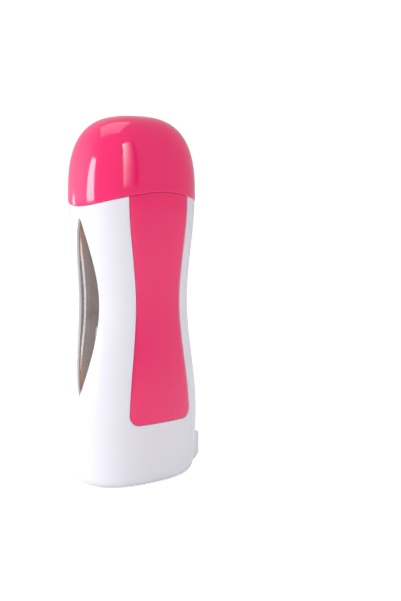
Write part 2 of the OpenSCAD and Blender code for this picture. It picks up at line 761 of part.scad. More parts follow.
front_shell();
rear_shell();
front_panel();
rear_panel();
left_window();
right_window();
top_collar();
well_gasket();
heated_well();
well_seat();
front_heater();
rear_heater();
heater_clips();
thermostat();
thermal_fuse();
circuit_board();
capacitor();
indicator_lamp();
mains_inlet();
inlet_pins();
live_lead();
neutral_lead();
front_heater_lead();
rear_heater_lead();
base_cover();
base_screws();
shell_screws();
cartridge_bottle();
wax_fill();
roller_frame();
roller();
cap();
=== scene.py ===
import math

import bmesh
import bpy
import numpy as np
from mathutils import Matrix, Vector


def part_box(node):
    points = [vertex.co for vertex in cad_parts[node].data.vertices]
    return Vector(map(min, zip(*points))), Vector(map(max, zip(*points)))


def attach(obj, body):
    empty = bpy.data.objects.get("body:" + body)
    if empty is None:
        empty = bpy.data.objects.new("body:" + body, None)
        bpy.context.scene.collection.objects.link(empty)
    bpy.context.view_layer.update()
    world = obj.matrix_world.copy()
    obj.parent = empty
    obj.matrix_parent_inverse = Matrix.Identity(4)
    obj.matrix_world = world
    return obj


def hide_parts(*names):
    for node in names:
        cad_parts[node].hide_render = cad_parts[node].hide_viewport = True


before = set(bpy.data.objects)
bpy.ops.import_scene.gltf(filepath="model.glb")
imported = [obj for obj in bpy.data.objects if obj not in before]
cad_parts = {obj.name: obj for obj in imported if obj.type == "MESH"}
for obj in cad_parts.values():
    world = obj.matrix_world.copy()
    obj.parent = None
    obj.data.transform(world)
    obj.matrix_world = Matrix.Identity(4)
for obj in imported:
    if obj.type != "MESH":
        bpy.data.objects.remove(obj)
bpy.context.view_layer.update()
MM = 0.001

# ---------------------------------------------------------------------------------------------
# Sizes of the housing's form, in metres, worked out from the frame where the frame has them
# ---------------------------------------------------------------------------------------------
WALL = 2.2 * MM
CAP_WALL = 2.0 * MM
CAP_PROUD = 0.4 * MM
RIM_GAP = 0.16 * MM
RIM_WAVE = 3.9 * MM
PANEL_T = 1.05 * MM
PANEL_GAP = 0.15 * MM
RECESS = PANEL_T + PANEL_GAP
OVAL_POWER = 2.45
DOME_POWER = 2.83
BASE_TAPER = 0.93
BASE_ROUND = 7.0 * MM
WAIST_Z = 105.4 * MM
BULGE_Z = 39.0 * MM
BASE_T = 1.8 * MM
FLOOR_Z = 3.6 * MM

WELL_SIDE_ROOM = 3.2 * MM
WELL_FACE_ROOM = 2.7 * MM
COVER_GAP = 0.1 * MM

well_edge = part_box("heated_well")[1]
WAIST_W = well_edge.x + WELL_SIDE_ROOM + WALL
WAIST_D = well_edge.y + WELL_FACE_ROOM + WALL
BULGE_W = WAIST_W + 6.8 * MM
BULGE_D = WAIST_D + 2.8 * MM
SHOULDER_W = WAIST_W + 5.5 * MM
SHOULDER_D = WAIST_D + 2.0 * MM
BODY_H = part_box("top_collar")[1].z - 6.6 * MM
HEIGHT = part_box("cap")[1].z
COVER_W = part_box("base_cover")[1].x
COVER_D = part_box("base_cover")[1].y
HATCH_W = COVER_W - 9.7 * MM
HATCH_D = COVER_D - 7.4 * MM


# ---------------------------------------------------------------------------------------------
# The form: half sizes by height, and the oval section by distance round it
# ---------------------------------------------------------------------------------------------
def blend(t):
    return t * t * (3 - 2 * t)


def flank(z, shoulder, waist, bulge):
    """Half size of the housing at height z, below the shoulder."""
    above = waist + (shoulder - waist) * blend(np.clip((z - WAIST_Z) / (BODY_H - WAIST_Z), 0, 1))
    below = waist + (bulge - waist) * blend(np.clip((WAIST_Z - z) / (WAIST_Z - BULGE_Z), 0, 1))
    foot = bulge * (1 - (1 - BASE_TAPER) * np.clip((BULGE_Z - z) / BULGE_Z, 0, 1) ** 2)
    return np.where(z > WAIST_Z, above, np.where(z > BULGE_Z, below, foot))


def half_sizes(z, depth):
    """Half width and half depth at height z, that far below the surface."""
    z = np.asarray(z, float)
    r = BASE_ROUND - np.maximum(depth, 0)
    tuck = np.where(z < BASE_ROUND, r * (1 - np.sqrt(np.clip(1 - ((BASE_ROUND - z) / r) ** 2, 0, 1))), 0)
    rise = np.clip((z - BODY_H) / (HEIGHT - BODY_H - np.maximum(depth, 0)), 0, 1)
    share = (1 - rise**DOME_POWER) ** (1 / DOME_POWER)
    low_wide = flank(z, SHOULDER_W, WAIST_W, BULGE_W) - depth - tuck
    low_deep = flank(z, SHOULDER_D, WAIST_D, BULGE_D) - depth - tuck
    wide = np.where(z > BODY_H, (SHOULDER_W - depth) * share, low_wide)
    deep = np.where(z > BODY_H, (SHOULDER_D - depth) * share, low_deep)
    return wide, deep


# one quarter of the oval: share of the way from the middle of the face to the middle of the side
quarter = np.linspace(0, math.pi / 2, 6001)
QUARTER_X = np.sin(quarter) ** (2 / OVAL_POWER)
QUARTER_Y = np.cos(quarter) ** (2 / OVAL_POWER)
steps = np.hypot(np.diff(QUARTER_X) * WAIST_W, np.diff(QUARTER_Y) * WAIST_D)
QUARTER_S = np.concatenate([[0], np.cumsum(steps)])
QUARTER_S /= QUARTER_S[-1]


def section(s):
    """The unit oval's point at share s: -1 is the left side, 0 the face, 1 the right side."""
    x = np.interp(np.abs(s), QUARTER_S, QUARTER_X)
    y = np.interp(np.abs(s), QUARTER_S, QUARTER_Y)
    size = (x**OVAL_POWER + y**OVAL_POWER) ** (1 / OVAL_POWER)
    return np.sign(s) * x / size, y / size


RIM_START = BODY_H - 12 * MM


def rim_height(x, y, gap):
    return BODY_H - gap - RIM_WAVE * np.cos(2 * np.arctan2(np.abs(y), np.abs(x)))


def lift(v, x, y):
    """True height of level v: the last levels below the rim follow the rim's wave."""
    share = np.clip((v - RIM_START) / (BODY_H - RIM_START), 0, 1)
    return np.where(v > RIM_START, RIM_START + (rim_height(x, y, RIM_GAP) - RIM_START) * share, v)


def place(s, v, depth):
    """Points on the front half of the housing, from share, level and depth."""
    s, v, depth = np.broadcast_arrays(s, v, depth)
    x, y = section(s)
    z = lift(v, x, y)
    wide, deep = half_sizes(z, depth)
    return np.stack([wide * x, -deep * y, z], -1)


def share_at_x(x, v):
    """Share round the front face where the surface has this x at level v."""
    z = v
    for _ in range(3):
        unit = np.clip(np.abs(x) / half_sizes(z, 0)[0], 0, 1)
        s = np.interp(unit, QUARTER_X, QUARTER_S)
        z = lift(v, *section(s))
    return np.sign(x) * s


def share_at_y(y, v):
    """Share round the right side where the surface is y in front of the middle at level v."""
    z = v
    for _ in range(3):
        unit = np.clip(y / half_sizes(z, 0)[1], 0, 1)
        s = np.interp(unit, QUARTER_Y[::-1], QUARTER_S[::-1])
        z = lift(v, *section(s))
    return s


# ---------------------------------------------------------------------------------------------
# Mesh helpers
# ---------------------------------------------------------------------------------------------
WELD = 1.5e-6


class Skin:
    """Collects sheets of points and single faces, and welds them into one closed mesh."""

    def __init__(self):
        self.points, self.faces = [], []

    def sheet(self, grid):
        rows, columns = grid.shape[:2]
        start = len(self.points)
        self.points += [tuple(p) for p in grid.reshape(-1, 3)]
        for i in range(rows - 1):
            a = start + i * columns
            b = a + columns
            self.faces += [(a + j, a + j + 1, b + j + 1, b + j) for j in range(columns - 1)]

    def face(self, points):
        start = len(self.points)
        self.points += [tuple(p) for p in points]
        self.faces.append(tuple(range(start, start + len(points))))

    def build(self, name, turned=False, sharp=math.radians(35)):
        work = bmesh.new()
        made = [work.verts.new(p) for p in self.points]
        for face in self.faces:
            work.faces.new([made[i] for i in face])
        bmesh.ops.remove_doubles(work, verts=work.verts, dist=WELD)
        bmesh.ops.dissolve_degenerate(work, edges=work.edges, dist=WELD)
        if turned:
            bmesh.ops.rotate(work, verts=work.verts, cent=(0, 0, 0), matrix=Matrix.Rotation(math.pi, 3, "Z"))
        return finish_mesh(work, name, sharp)


def finish_mesh(work, name, sharp):
    """Turns a closed bmesh into a smooth-shaded object with its normals outwards."""
    bmesh.ops.recalc_face_normals(work, faces=work.faces)
    open_edges = sum(1 for e in work.edges if len(e.link_faces) != 2)
    if open_edges:
        print(f"{name}: {open_edges} edges are not shared by two faces")
    mesh = bpy.data.meshes.new(name)
    work.to_mesh(mesh)
    work.free()
    mesh.shade_smooth()
    mesh.set_sharp_from_angle(angle=sharp)
    piece = bpy.data.objects.new(name, mesh)
    bpy.context.collection.objects.link(piece)
    return piece


def softened(node, width, segments=3, angle=math.radians(28)):
    """A copy of a CAD node with its edges rounded."""
    work = bmesh.new()
    work.from_mesh(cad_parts[node].data)
    bmesh.ops.remove_doubles(work, verts=work.verts, dist=WELD)
    bmesh.ops.dissolve_limit(
        work, angle_limit=math.radians(0.4), verts=work.verts, edges=work.edges,
        use_dissolve_boundaries=False)
    edges = [e for e in work.edges if len(e.link_faces) == 2 and e.calc_face_angle(0) > angle]
    bmesh.ops.bevel(
        work, geom=edges, offset=width, offset_type="OFFSET", segments=segments, profile=0.5,
        affect="EDGES", clamp_overlap=True)
    return finish_mesh(work, node + "_piece", math.radians(40))


def rounded_edge(radius, steps=5):
    """(run, drop) pairs down a quarter round, from the flat surface to the edge."""
    angles = np.linspace(0, math.pi / 2, steps)
    return [(radius * (1 - math.sin(a)), radius * (1 - math.cos(a))) for a in angles]


def between(low, high, count):
    """count + 1 columns from low to high, which may be one number or one for each row."""
    low, high = np.asarray(low, float), np.asarray(high, float)
    return low[..., None] + (high - low)[..., None] * np.linspace(0, 1, count + 1)


# ---------------------------------------------------------------------------------------------
# Outlines: the windows, the inlet's notch and the colour panels
# ---------------------------------------------------------------------------------------------
SEAM = 0.02 * MM
WINDOW_FLANGE = 1.4 * MM
WINDOW_LOW = 53.0 * MM
WINDOW_HIGH = BODY_H - 9.9 * MM
WINDOW_MID = (WINDOW_HIGH + WINDOW_LOW) / 2
WINDOW_REACH = (WINDOW_HIGH - WINDOW_LOW) / 2
WINDOW_HALF = 9.2 * MM
WINDOW_TIP = 0.985
WINDOW_GAP = 0.12 * MM

pins_low, pins_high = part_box("inlet_pins")
INLET_Z = (pins_low.z + pins_high.z) / 2
INLET_HALF_W = 10.6 * MM
INLET_HALF_H = 9.25 * MM
NOTCH_ROUND = 2.3 * MM
NOTCH_HALF = INLET_HALF_W + PANEL_GAP
NOTCH_CORNER = NOTCH_HALF - NOTCH_ROUND
NOTCH_LOW = INLET_Z - INLET_HALF_H - PANEL_GAP
NOTCH_HIGH = INLET_Z + INLET_HALF_H + PANEL_GAP


def window_half(z, grow):
    """Half width of the window's opening at height z, with small round tips."""
    away = np.abs(z - WINDOW_MID)
    t = np.clip(away / (WINDOW_REACH + grow), 0, WINDOW_TIP)
    body = WINDOW_HALF * (1 - t * t) ** 0.9 + grow
    past = np.clip((away - WINDOW_TIP * WINDOW_REACH) / (0.45 * MM + grow), 0, 1)
    return body * np.sqrt(1 - past**2)


def notch_half(z):
    """Half width of the notch that lets the inlet block through, with round corners."""
    away = np.abs(z - INLET_Z) - (NOTCH_HIGH - INLET_Z - NOTCH_ROUND)
    corner = np.clip(away / NOTCH_ROUND, 0, 1)
    return NOTCH_CORNER + NOTCH_ROUND * np.sqrt(1 - corner**2)


PANEL_TOP = 22.1 * MM
PANEL_WAIST = 16.6 * MM
PANEL_FOOT = 23.0 * MM
PANEL_Z = 36.3 * MM
PANEL_ROUND = 6.0 * MM


def panel_half(z):
    """Half width of a colour panel at height z, above its corners."""
    up_share = np.clip((z - WAIST_Z) / (BODY_H - WAIST_Z), 0, 1.2)
    down_share = np.clip((WAIST_Z - z) / (WAIST_Z - PANEL_Z), 0, 1)
    above = PANEL_WAIST + (PANEL_TOP - PANEL_WAIST) * blend(up_share)
    below = PANEL_WAIST + (PANEL_FOOT - PANEL_WAIST) * blend(down_share)
    return np.where(z > WAIST_Z, above, below)


def panel_slope(z):
    step = 0.05 * MM
    return (panel_half(z + step) - panel_half(z - step)) / (2 * step)


# the corner arc ends where it meets the side's own direction
CORNER_END = math.pi / 2 - math.atan(-float(panel_slope(PANEL_Z + PANEL_ROUND)))
SIDE_FOOT = PANEL_Z + PANEL_ROUND * (1 - math.cos(CORNER_END))
CORNER_X = float(panel_half(SIDE_FOOT)) - PANEL_ROUND * math.sin(CORNER_END)
EDGE_R = 0.3 * MM
corner_angles = np.linspace(0, CORNER_END, 15)
RIM_ANGLES = np.linspace(0, math.pi / 2, 5)


def crowded(start, stop, count, spots, width):
    """Levels from start to stop, closer together round the given spots."""
    fine = np.linspace(start, stop, 4001)
    weight = np.ones_like(fine)
    for spot, gain in spots:
        weight += gain * np.exp(-(((fine - spot) / width) ** 2))
    total = np.concatenate([[0], np.cumsum((weight[1:] + weight[:-1]) / 2)])
    return np.interp(np.linspace(0, total[-1], count + 1), total, fine)


TIP_LOW = WINDOW_MID - WINDOW_TIP * WINDOW_REACH
TIP_HIGH = WINDOW_MID + WINDOW_TIP * WINDOW_REACH
side_levels = crowded(SIDE_FOOT, BODY_H - EDGE_R, 150, [(TIP_LOW, 7), (TIP_HIGH, 7)], 0.9 * MM)[1:]
rim_levels = BODY_H - EDGE_R * (1 - np.sin(RIM_ANGLES[1:]))
rim_depths = EDGE_R * (1 - np.cos(RIM_ANGLES[1:]))


def panel_edge(offset):
    """The panel's right edge, moved outwards by offset: x and level of each row, corner first."""
    x = CORNER_X + (PANEL_ROUND + offset) * np.sin(corner_angles)
    v = PANEL_Z + PANEL_ROUND - (PANEL_ROUND + offset) * np.cos(corner_angles)
    levels = np.concatenate([side_levels, rim_levels])
    slope = panel_slope(levels)
    size = np.hypot(1, slope)
    side_x = panel_half(levels) + offset / size
    side_v = np.minimum(levels - offset * slope / size, BODY_H)
    side_v[-len(rim_levels) - 1:] = levels[-len(rim_levels) - 1:]
    return np.concatenate([x, side_x]), np.concatenate([v, side_v])


row_depths = np.concatenate([np.zeros(len(corner_angles) + len(side_levels)), rim_depths])
ROUNDING = rounded_edge(EDGE_R)


# ---------------------------------------------------------------------------------------------
# The shells
# ---------------------------------------------------------------------------------------------
SIDE_COLUMNS = 34
BESIDE_COLUMNS = 24
CORNER_COLUMNS = 4
FACE_COLUMNS = 56
SEAM_R = 0.12 * MM
WINDOW_CROWD = 0.85  # how much closer the corner columns stand beside a window at its widest
SEAM_ROUNDING = rounded_edge(SEAM_R)


def seam_line(v):
    """How far in front of the middle plane a shell's edge runs at level v."""
    return SEAM + window_half(v, WINDOW_GAP)


def seam_strip(v, start, row_depth, inside):
    """The rounded edge of a shell, from the inner wall out to the surface, start from the middle plane."""
    columns = [place(share_at_y(start, v), v, np.full_like(v, WALL))]
    for run, drop in reversed(SEAM_ROUNDING):
        depth = np.full_like(v, WALL) if inside else np.maximum(row_depth, drop)
        columns.append(place(share_at_y(start + run, v), v, depth))
    return np.stack(columns, 1)


def side_shares(v, inner, notched):
    """Where a shell's columns run between the panel and the seam, for each level."""
    line = seam_line(v)
    outer = share_at_y(line + SEAM_R, v)
    if not notched:
        return between(inner, outer, SIDE_COLUMNS)
    room = 1 - WINDOW_CROWD * np.clip((line - SEAM) / WINDOW_HALF, 0, 1)
    corner = line + (NOTCH_CORNER - SEAM) * room
    beside = corner + (NOTCH_ROUND + SEAM_R) * room
    runs = np.stack([share_at_y(corner + run, v) for run, _ in SEAM_ROUNDING], -1)
    return np.concatenate([
        between(inner, share_at_y(beside, v), BESIDE_COLUMNS)[..., :-1],
        between(share_at_y(beside, v), runs[..., 0], CORNER_COLUMNS)[..., :-1],
        runs, between(runs[..., -1], outer, SIDE_COLUMNS // 4)[..., 1:]], -1)


def notch_shares(v, inner):
    """Where the columns run beside the notch."""
    beside = share_at_y(np.full_like(v, NOTCH_HALF + SEAM_R), v)
    corner = share_at_y(notch_half(v) + SEAM_R, v)
    return np.concatenate([
        between(inner, beside, BESIDE_COLUMNS)[..., :-1], between(beside, corner, CORNER_COLUMNS)], -1)


def notch_end(skin, v, mirror):
    """The flat edge of a shell above or below the notch."""
    v = np.array([v])
    inner = share_at_x(np.full_like(v, CORNER_X), v)
    shares = side_shares(v, inner, True)[0]
    first = BESIDE_COLUMNS + CORNER_COLUMNS
    last = first + len(SEAM_ROUNDING) - 1
    flat = np.zeros(1)
    path = list(place(shares[first:], v[0], 0.0))
    path += list(seam_strip(v, seam_line(v), flat, False)[0][::-1])
    path += list(seam_strip(v, seam_line(v), flat, True)[0])
    path += list(place(shares[last:], v[0], WALL)[::-1])
    path += list(seam_strip(v, np.array([NOTCH_CORNER]), flat, False)[0])
    kept = [path[0]]
    for point in path[1:]:
        if np.linalg.norm(point - kept[-1]) > WELD and np.linalg.norm(point - kept[0]) > WELD:
            kept.append(point)
    skin.face([p * mirror for p in kept])


def shell(name, notch_right, notch_left, turned):
    """A front shell: side zones between the seams and the panel's recess, the recess, and the foot."""
    skin = Skin()
    edge_x, edge_v = panel_edge(EDGE_R)
    foot_start = BASE_ROUND * (1 - np.cos(np.linspace(0, math.pi / 2, 13)))
    foot_rest = np.linspace(BASE_ROUND, edge_v[0], 40)
    corner = NOTCH_ROUND * (1 - np.cos(np.linspace(0, math.pi / 2, 8)))
    foot_levels = np.unique(np.concatenate([
        foot_start, [FLOOR_Z], NOTCH_LOW + corner, NOTCH_HIGH - corner, foot_rest]).round(8))
    mirror = np.array([-1, 1, 1])
    sides = ((notch_right, 1), (notch_left, mirror))
    for inside in (False, True):
        def deep(row_depth, own=0.0):
            return np.full_like(row_depth, WALL) if inside else np.maximum(row_depth, own)

        foot = np.maximum(foot_levels, FLOOR_Z if inside else 0.0)
        low, high = foot <= NOTCH_LOW + 1e-7, foot >= NOTCH_HIGH - 1e-7
        beside = (foot >= NOTCH_LOW - 1e-7) & (foot <= NOTCH_HIGH + 1e-7)
        for notched, turn in sides:
            blocks = [(edge_v, edge_x, row_depths)]
            parts = (low, high) if notched else (np.ones_like(low),)
            blocks += [(foot[part], CORNER_X, np.zeros(part.sum())) for part in parts]
            for v, x, rows in blocks:
                inner = share_at_x(x * np.ones_like(v), v)
                skin.sheet(place(side_shares(v, inner, notched), v[:, None], deep(rows)[:, None]) * turn)
                skin.sheet(seam_strip(v, seam_line(v), rows, inside) * turn)
            if notched:
                v = foot[beside]
                inner = share_at_x(np.full_like(v, CORNER_X), v)
                skin.sheet(place(notch_shares(v, inner), v[:, None], deep(np.zeros_like(v))[:, None]) * turn)
                skin.sheet(seam_strip(v, notch_half(v), np.zeros_like(v), inside) * turn)
        # the foot below the recess
        half = share_at_x(np.full_like(foot, CORNER_X), foot)
        flat_depth = deep(np.zeros_like(foot))[:, None]
        skin.sheet(place(between(-half, half, FACE_COLUMNS), foot[:, None], flat_depth))
        # the edge of the recess, rounded and then straight down, along both sides and the foot
        profile = ROUNDING + [(0.0, RECESS)]
        edges, foots = [], []
        for offset, drop in profile:
            x, v = panel_edge(offset)
            edges.append(place(share_at_x(x, v), v, deep(row_depths, drop)))
            half = share_at_x(np.array(CORNER_X), v[0])
            foots.append(place(between(-half, half, FACE_COLUMNS), v[0], float(deep(np.zeros(1), drop)[0])))
        ring = np.stack(edges, 1)
        skin.sheet(ring)
        skin.sheet(ring * mirror)
        skin.sheet(np.stack(foots, 0))
        # the floor of the recess
        x, v = panel_edge(0.0)
        half = share_at_x(x, v)
        skin.sheet(place(between(-half, half, FACE_COLUMNS), v[:, None], deep(row_depths, RECESS)[:, None]))
    for notched, turn in sides:
        if notched:
            notch_end(skin, NOTCH_LOW, turn)
            notch_end(skin, NOTCH_HIGH, turn)
    close_rim(skin, notch_right, notch_left)
    close_floor(skin, foot_levels, notch_right, notch_left)
    return skin.build(name, turned)


def top_row(notch_right, notch_left):
    """Shares and depths of every point along a shell's rim, from the left seam to the right one."""
    v = np.array([BODY_H])
    low = rim_depths[-1]

    def half_row(notched):
        start = seam_line(v)
        shares = [share_at_y(start, v)[0]]
        shares += [share_at_y(start + run, v)[0] for run, _ in reversed(SEAM_ROUNDING)]
        depths = [WALL] + [max(low, drop) for _, drop in reversed(SEAM_ROUNDING)]
        x, level = panel_edge(EDGE_R)
        inner = share_at_x(x[-1:], level[-1:])
        zone = side_shares(v, inner, notched)[0][::-1]
        shares += list(zone)
        depths += [low] * len(zone)
        for offset, drop in ROUNDING + [(0.0, RECESS)]:
            x, level = panel_edge(offset)
            shares.append(float(share_at_x(x[-1], level[-1])))
            depths.append(max(low, drop))
        return shares, depths

    right_s, right_d = half_row(notch_right)
    left_s, left_d = half_row(notch_left)
    x, level = panel_edge(0.0)
    half = float(share_at_x(x[-1], level[-1]))
    middle = list(between(-half, half, FACE_COLUMNS))
    shares = [-s for s in left_s] + middle + right_s[::-1]
    depths = left_d + [RECESS] * len(middle) + right_d[::-1]
    return np.array(shares), np.array(depths)


def close_rim(skin, notch_right, notch_left):
    shares, depths = top_row(notch_right, notch_left)
    outer = place(shares, BODY_H, depths)
    inner = place(shares, BODY_H, np.full_like(depths, WALL))
    skin.sheet(np.stack([outer, inner], 0))


def close_floor(skin, foot_levels, notch_right, notch_left):
    """The floor inside a shell, the hatch in it, the seat of the base cover and the bottom rim."""

    def row(v):
        v = np.array([v])
        parts = []
        for side, notched in ((-1, notch_left), (1, notch_right)):
            start = seam_line(v)
            shares = [share_at_y(start, v)[0]] + [
                share_at_y(start + run, v)[0] for run, _ in reversed(SEAM_ROUNDING)]
            inner = share_at_x(np.full_like(v, CORNER_X), v)
            shares += list(side_shares(v, inner, notched)[0][::-1])
            parts.append(-np.array(shares) if side < 0 else np.array(shares)[::-1])
        half = share_at_x(np.full_like(v, CORNER_X), v)[0]
        middle = between(-half, half, FACE_COLUMNS)
        return np.concatenate([parts[0], middle, parts[1]])

    shares = row(FLOOR_Z)
    x, y = section(shares)

    def flat(wide, deep, z):
        return np.stack([wide * x, -deep * y, np.full_like(x, z)], -1)

    bottom = row(0.0)
    rows = [place(shares, FLOOR_Z, WALL), flat(HATCH_W, HATCH_D, FLOOR_Z), flat(HATCH_W, HATCH_D, BASE_T),
            flat(COVER_W + COVER_GAP, COVER_D + COVER_GAP, BASE_T),
            flat(COVER_W + COVER_GAP, COVER_D + COVER_GAP, 0.0), place(bottom, 0.0, 0.0)]
    skin.sheet(np.stack(rows, 0))
    low = foot_levels[foot_levels <= FLOOR_Z + 1e-9]
    low = np.append(low[low < FLOOR_Z - 1e-9], FLOOR_Z)
    for end, side, notched in ((0, -1, notch_left), (-1, 1, notch_right)):
        share = side * share_at_y(seam_line(low), low)
        edge = place(share, low, np.full_like(low, WALL))
        skin.face(list(edge) + [r[end] for r in rows[1:-1]])


# ---------------------------------------------------------------------------------------------
# The colour panels: a shallow bevel round a flush field
# ---------------------------------------------------------------------------------------------
BEVEL_W = 1.9 * MM
BEVEL_DROP = 0.28 * MM
# distance in from the panel's outline, and drop below the flush field
PANEL_EDGE = [
    (0.0, PANEL_T), (0.0, BEVEL_DROP + 0.3 * MM), (0.03 * MM, BEVEL_DROP + 0.13 * MM),
    (0.1 * MM, BEVEL_DROP + 0.04 * MM), (0.25 * MM, BEVEL_DROP), (BEVEL_W * 0.55, BEVEL_DROP * 0.5),
    (BEVEL_W - 0.25 * MM, BEVEL_DROP * 0.1), (BEVEL_W, 0.02 * MM), (BEVEL_W + 0.3 * MM, 0.0)]


def panel(name, turned):
    """One colour panel: both faces, the bevelled edge round them, and the cut along the rim."""
    skin = Skin()
    mirror = np.array([-1, 1, 1])
    for inside in (False, True):
        def deep(rows, own):
            return np.full_like(rows, PANEL_T) if inside else np.maximum(rows, own)

        sides, foots = [], []
        for run, drop in PANEL_EDGE:
            x, v = panel_edge(-PANEL_GAP - run)
            sides.append(place(share_at_x(x, v), v, deep(row_depths, drop)))
            half = share_at_x(np.array(CORNER_X), v[0])
            foots.append(place(between(-half, half, FACE_COLUMNS), v[0], float(deep(np.zeros(1), drop)[0])))
        ring = np.stack(sides, 1)
        skin.sheet(ring)
        skin.sheet(ring * mirror)
        skin.sheet(np.stack(foots, 0))
        half = share_at_x(x, v)
        skin.sheet(place(between(-half, half, FACE_COLUMNS), v[:, None], deep(row_depths, 0.0)[:, None]))
    shares, depths = [], []
    for run, drop in PANEL_EDGE:
        x, v = panel_edge(-PANEL_GAP - run)
        shares.append(float(share_at_x(x[-1], v[-1])))
        depths.append(max(rim_depths[-1], drop))
    middle = list(between(-shares[-1], shares[-1], FACE_COLUMNS))
    all_shares = np.array([-s for s in shares] + middle + shares[::-1])
    all_depths = np.array(depths + [rim_depths[-1]] * len(middle) + depths[::-1])
    skin.sheet(np.stack([place(all_shares, BODY_H, all_depths), place(all_shares, BODY_H, PANEL_T)], 0))
    return skin.build(name, turned)


# ---------------------------------------------------------------------------------------------
# The windows: a lens that fills the opening, with a flange behind the shells
# ---------------------------------------------------------------------------------------------
LENS_SINK = 1.3 * MM
FLANGE_FRONT = WALL + 0.1 * MM
FLANGE_BACK = WALL + 1.1 * MM
LENS_R = 0.3 * MM


def window(name, turned):
    """One lens, as closed loops stacked up its height, and its flange."""
    levels = WINDOW_MID - WINDOW_REACH * WINDOW_TIP * np.cos(np.linspace(0, math.pi, 150))
    half = window_half(levels, 0.0)
    across = np.linspace(-1, 1, 29)[1:-1]
    skin = Skin()

    def at(offset_y, v, depth):
        s = share_at_y(np.abs(offset_y), v)
        p = place(s, v, depth)
        p[..., 1] *= np.where(offset_y < 0, -1, 1)
        return p

    inner_half = np.maximum(half - LENS_R, half * 0.5)
    loops = []
    for k, v in enumerate(levels):
        loop = [at(c * inner_half[k], v, LENS_SINK) for c in across]
        for a in np.linspace(0, math.pi / 2, 4):
            run = half[k] - inner_half[k]
            loop.append(at(inner_half[k] + run * math.sin(a), v, LENS_SINK + LENS_R * (1 - math.cos(a))))
        flange = half[k] + WINDOW_FLANGE
        loop += [at(half[k], v, FLANGE_FRONT), at(flange, v, FLANGE_FRONT), at(flange, v, FLANGE_BACK)]
        loop += [at(c * flange, v, FLANGE_BACK) for c in across[::-1]]
        loop += [at(-flange, v, FLANGE_BACK), at(-flange, v, FLANGE_FRONT), at(-half[k], v, FLANGE_FRONT)]
        for a in np.linspace(math.pi / 2, 0, 4):
            run = half[k] - inner_half[k]
            loop.append(at(-inner_half[k] - run * math.sin(a), v, LENS_SINK + LENS_R * (1 - math.cos(a))))
        loop.append(loop[0])
        loops.append(np.array(loop))
    skin.sheet(np.stack(loops, 0))
    skin.face(loops[0][:-1])
    skin.face(loops[-1][:-1])
    return skin.build(name, turned)


# ---------------------------------------------------------------------------------------------
# The cap: a dome with a wavy, rounded lower edge
# ---------------------------------------------------------------------------------------------
CAP_COLUMNS = 240
CAP_EDGE_R = 0.6 * MM
SKIRT_TOP = BODY_H + RIM_WAVE + 3 * MM


def oval_ring():
    """The unit oval all the way round, in CAP_COLUMNS steps."""
    x, y = section(np.linspace(-1, 1, CAP_COLUMNS // 2 + 1))
    return np.concatenate([x, -x[1:]]), np.concatenate([-y, y[1:]])


def cap_ring(level, depth, start=0.0):
    """One ring of the skirt. Levels from 0 to 1 run from the wavy edge to the top of the skirt."""
    x, y = oval_ring()
    edge = rim_height(x, y, 0.0) + start
    z = edge + (SKIRT_TOP - edge) * level
    wide, deep = half_sizes(z, depth)
    return np.stack([wide * x, deep * y, z], -1)


def dome_ring(angle, depth):
    """One ring of the dome, at an angle that is a right angle at the top."""
    x, y = oval_ring()
    share = math.cos(angle) ** (2 / DOME_POWER) if angle < math.pi / 2 - 1e-6 else 0.0
    rise = HEIGHT - BODY_H - max(depth, 0)
    z = BODY_H + rise * math.sin(angle) ** (2 / DOME_POWER)
    wide, deep = (SHOULDER_W - depth) * share, (SHOULDER_D - depth) * share
    return np.stack([wide * x, deep * y, np.full_like(x, z)], -1)


def cap(name):
    """The cap's inner and outer walls as one stack of rings, from the inner pole to the outer one."""
    skin = Skin()
    rise = HEIGHT - BODY_H
    rings = []
    for depth in (CAP_WALL, -CAP_PROUD):
        inner_rise = rise - max(depth, 0)
        first = math.asin(((SKIRT_TOP - BODY_H) / inner_rise) ** (DOME_POWER / 2))
        angles = first + (math.pi / 2 - first) * np.linspace(0, 1, 71)[1:] ** 0.9
        dome = [dome_ring(a, depth) for a in angles]
        if depth > 0:
            side = [cap_ring(level, depth) for level in np.linspace(0, 1, 12)]
            rings += (side + dome)[::-1]
        else:
            for a in np.linspace(0, math.pi / 2, 7):
                start = CAP_EDGE_R * (1 - math.cos(a))
                rings.append(cap_ring(0.0, -CAP_PROUD + CAP_EDGE_R * (1 - math.sin(a)), start))
            rings += [cap_ring(level, depth, CAP_EDGE_R) for level in np.linspace(0, 1, 12)[1:]] + dome
    skin.sheet(np.stack(rings, 0))
    return skin.build(name, sharp=math.radians(50))


# ---------------------------------------------------------------------------------------------
# Shader node groups: effects that several finishes share
# ---------------------------------------------------------------------------------------------
def node_group(name, inputs, outputs):
    group = bpy.data.node_groups.new(name, "ShaderNodeTree")
    for label, kind, default in inputs:
        socket = group.interface.new_socket(label, in_out="INPUT", socket_type=kind)
        if default is not None:
            socket.default_value = default
    for label, kind in outputs:
        group.interface.new_socket(label, in_out="OUTPUT", socket_type=kind)
    return group, group.nodes.new("NodeGroupInput"), group.nodes.new("NodeGroupOutput")


def add(tree, kind, **values):
    node = tree.nodes.new(kind)
    for key, value in values.items():
        setattr(node, key, value)
    return node


def math_node(tree, operation, a, b):
    node = add(tree, "ShaderNodeMath", operation=operation)
    for socket, value in zip(node.inputs, (a, b)):
        if isinstance(value, (int, float)):
            socket.default_value = value
        else:
            tree.links.new(value, socket)
    return node.outputs[0]


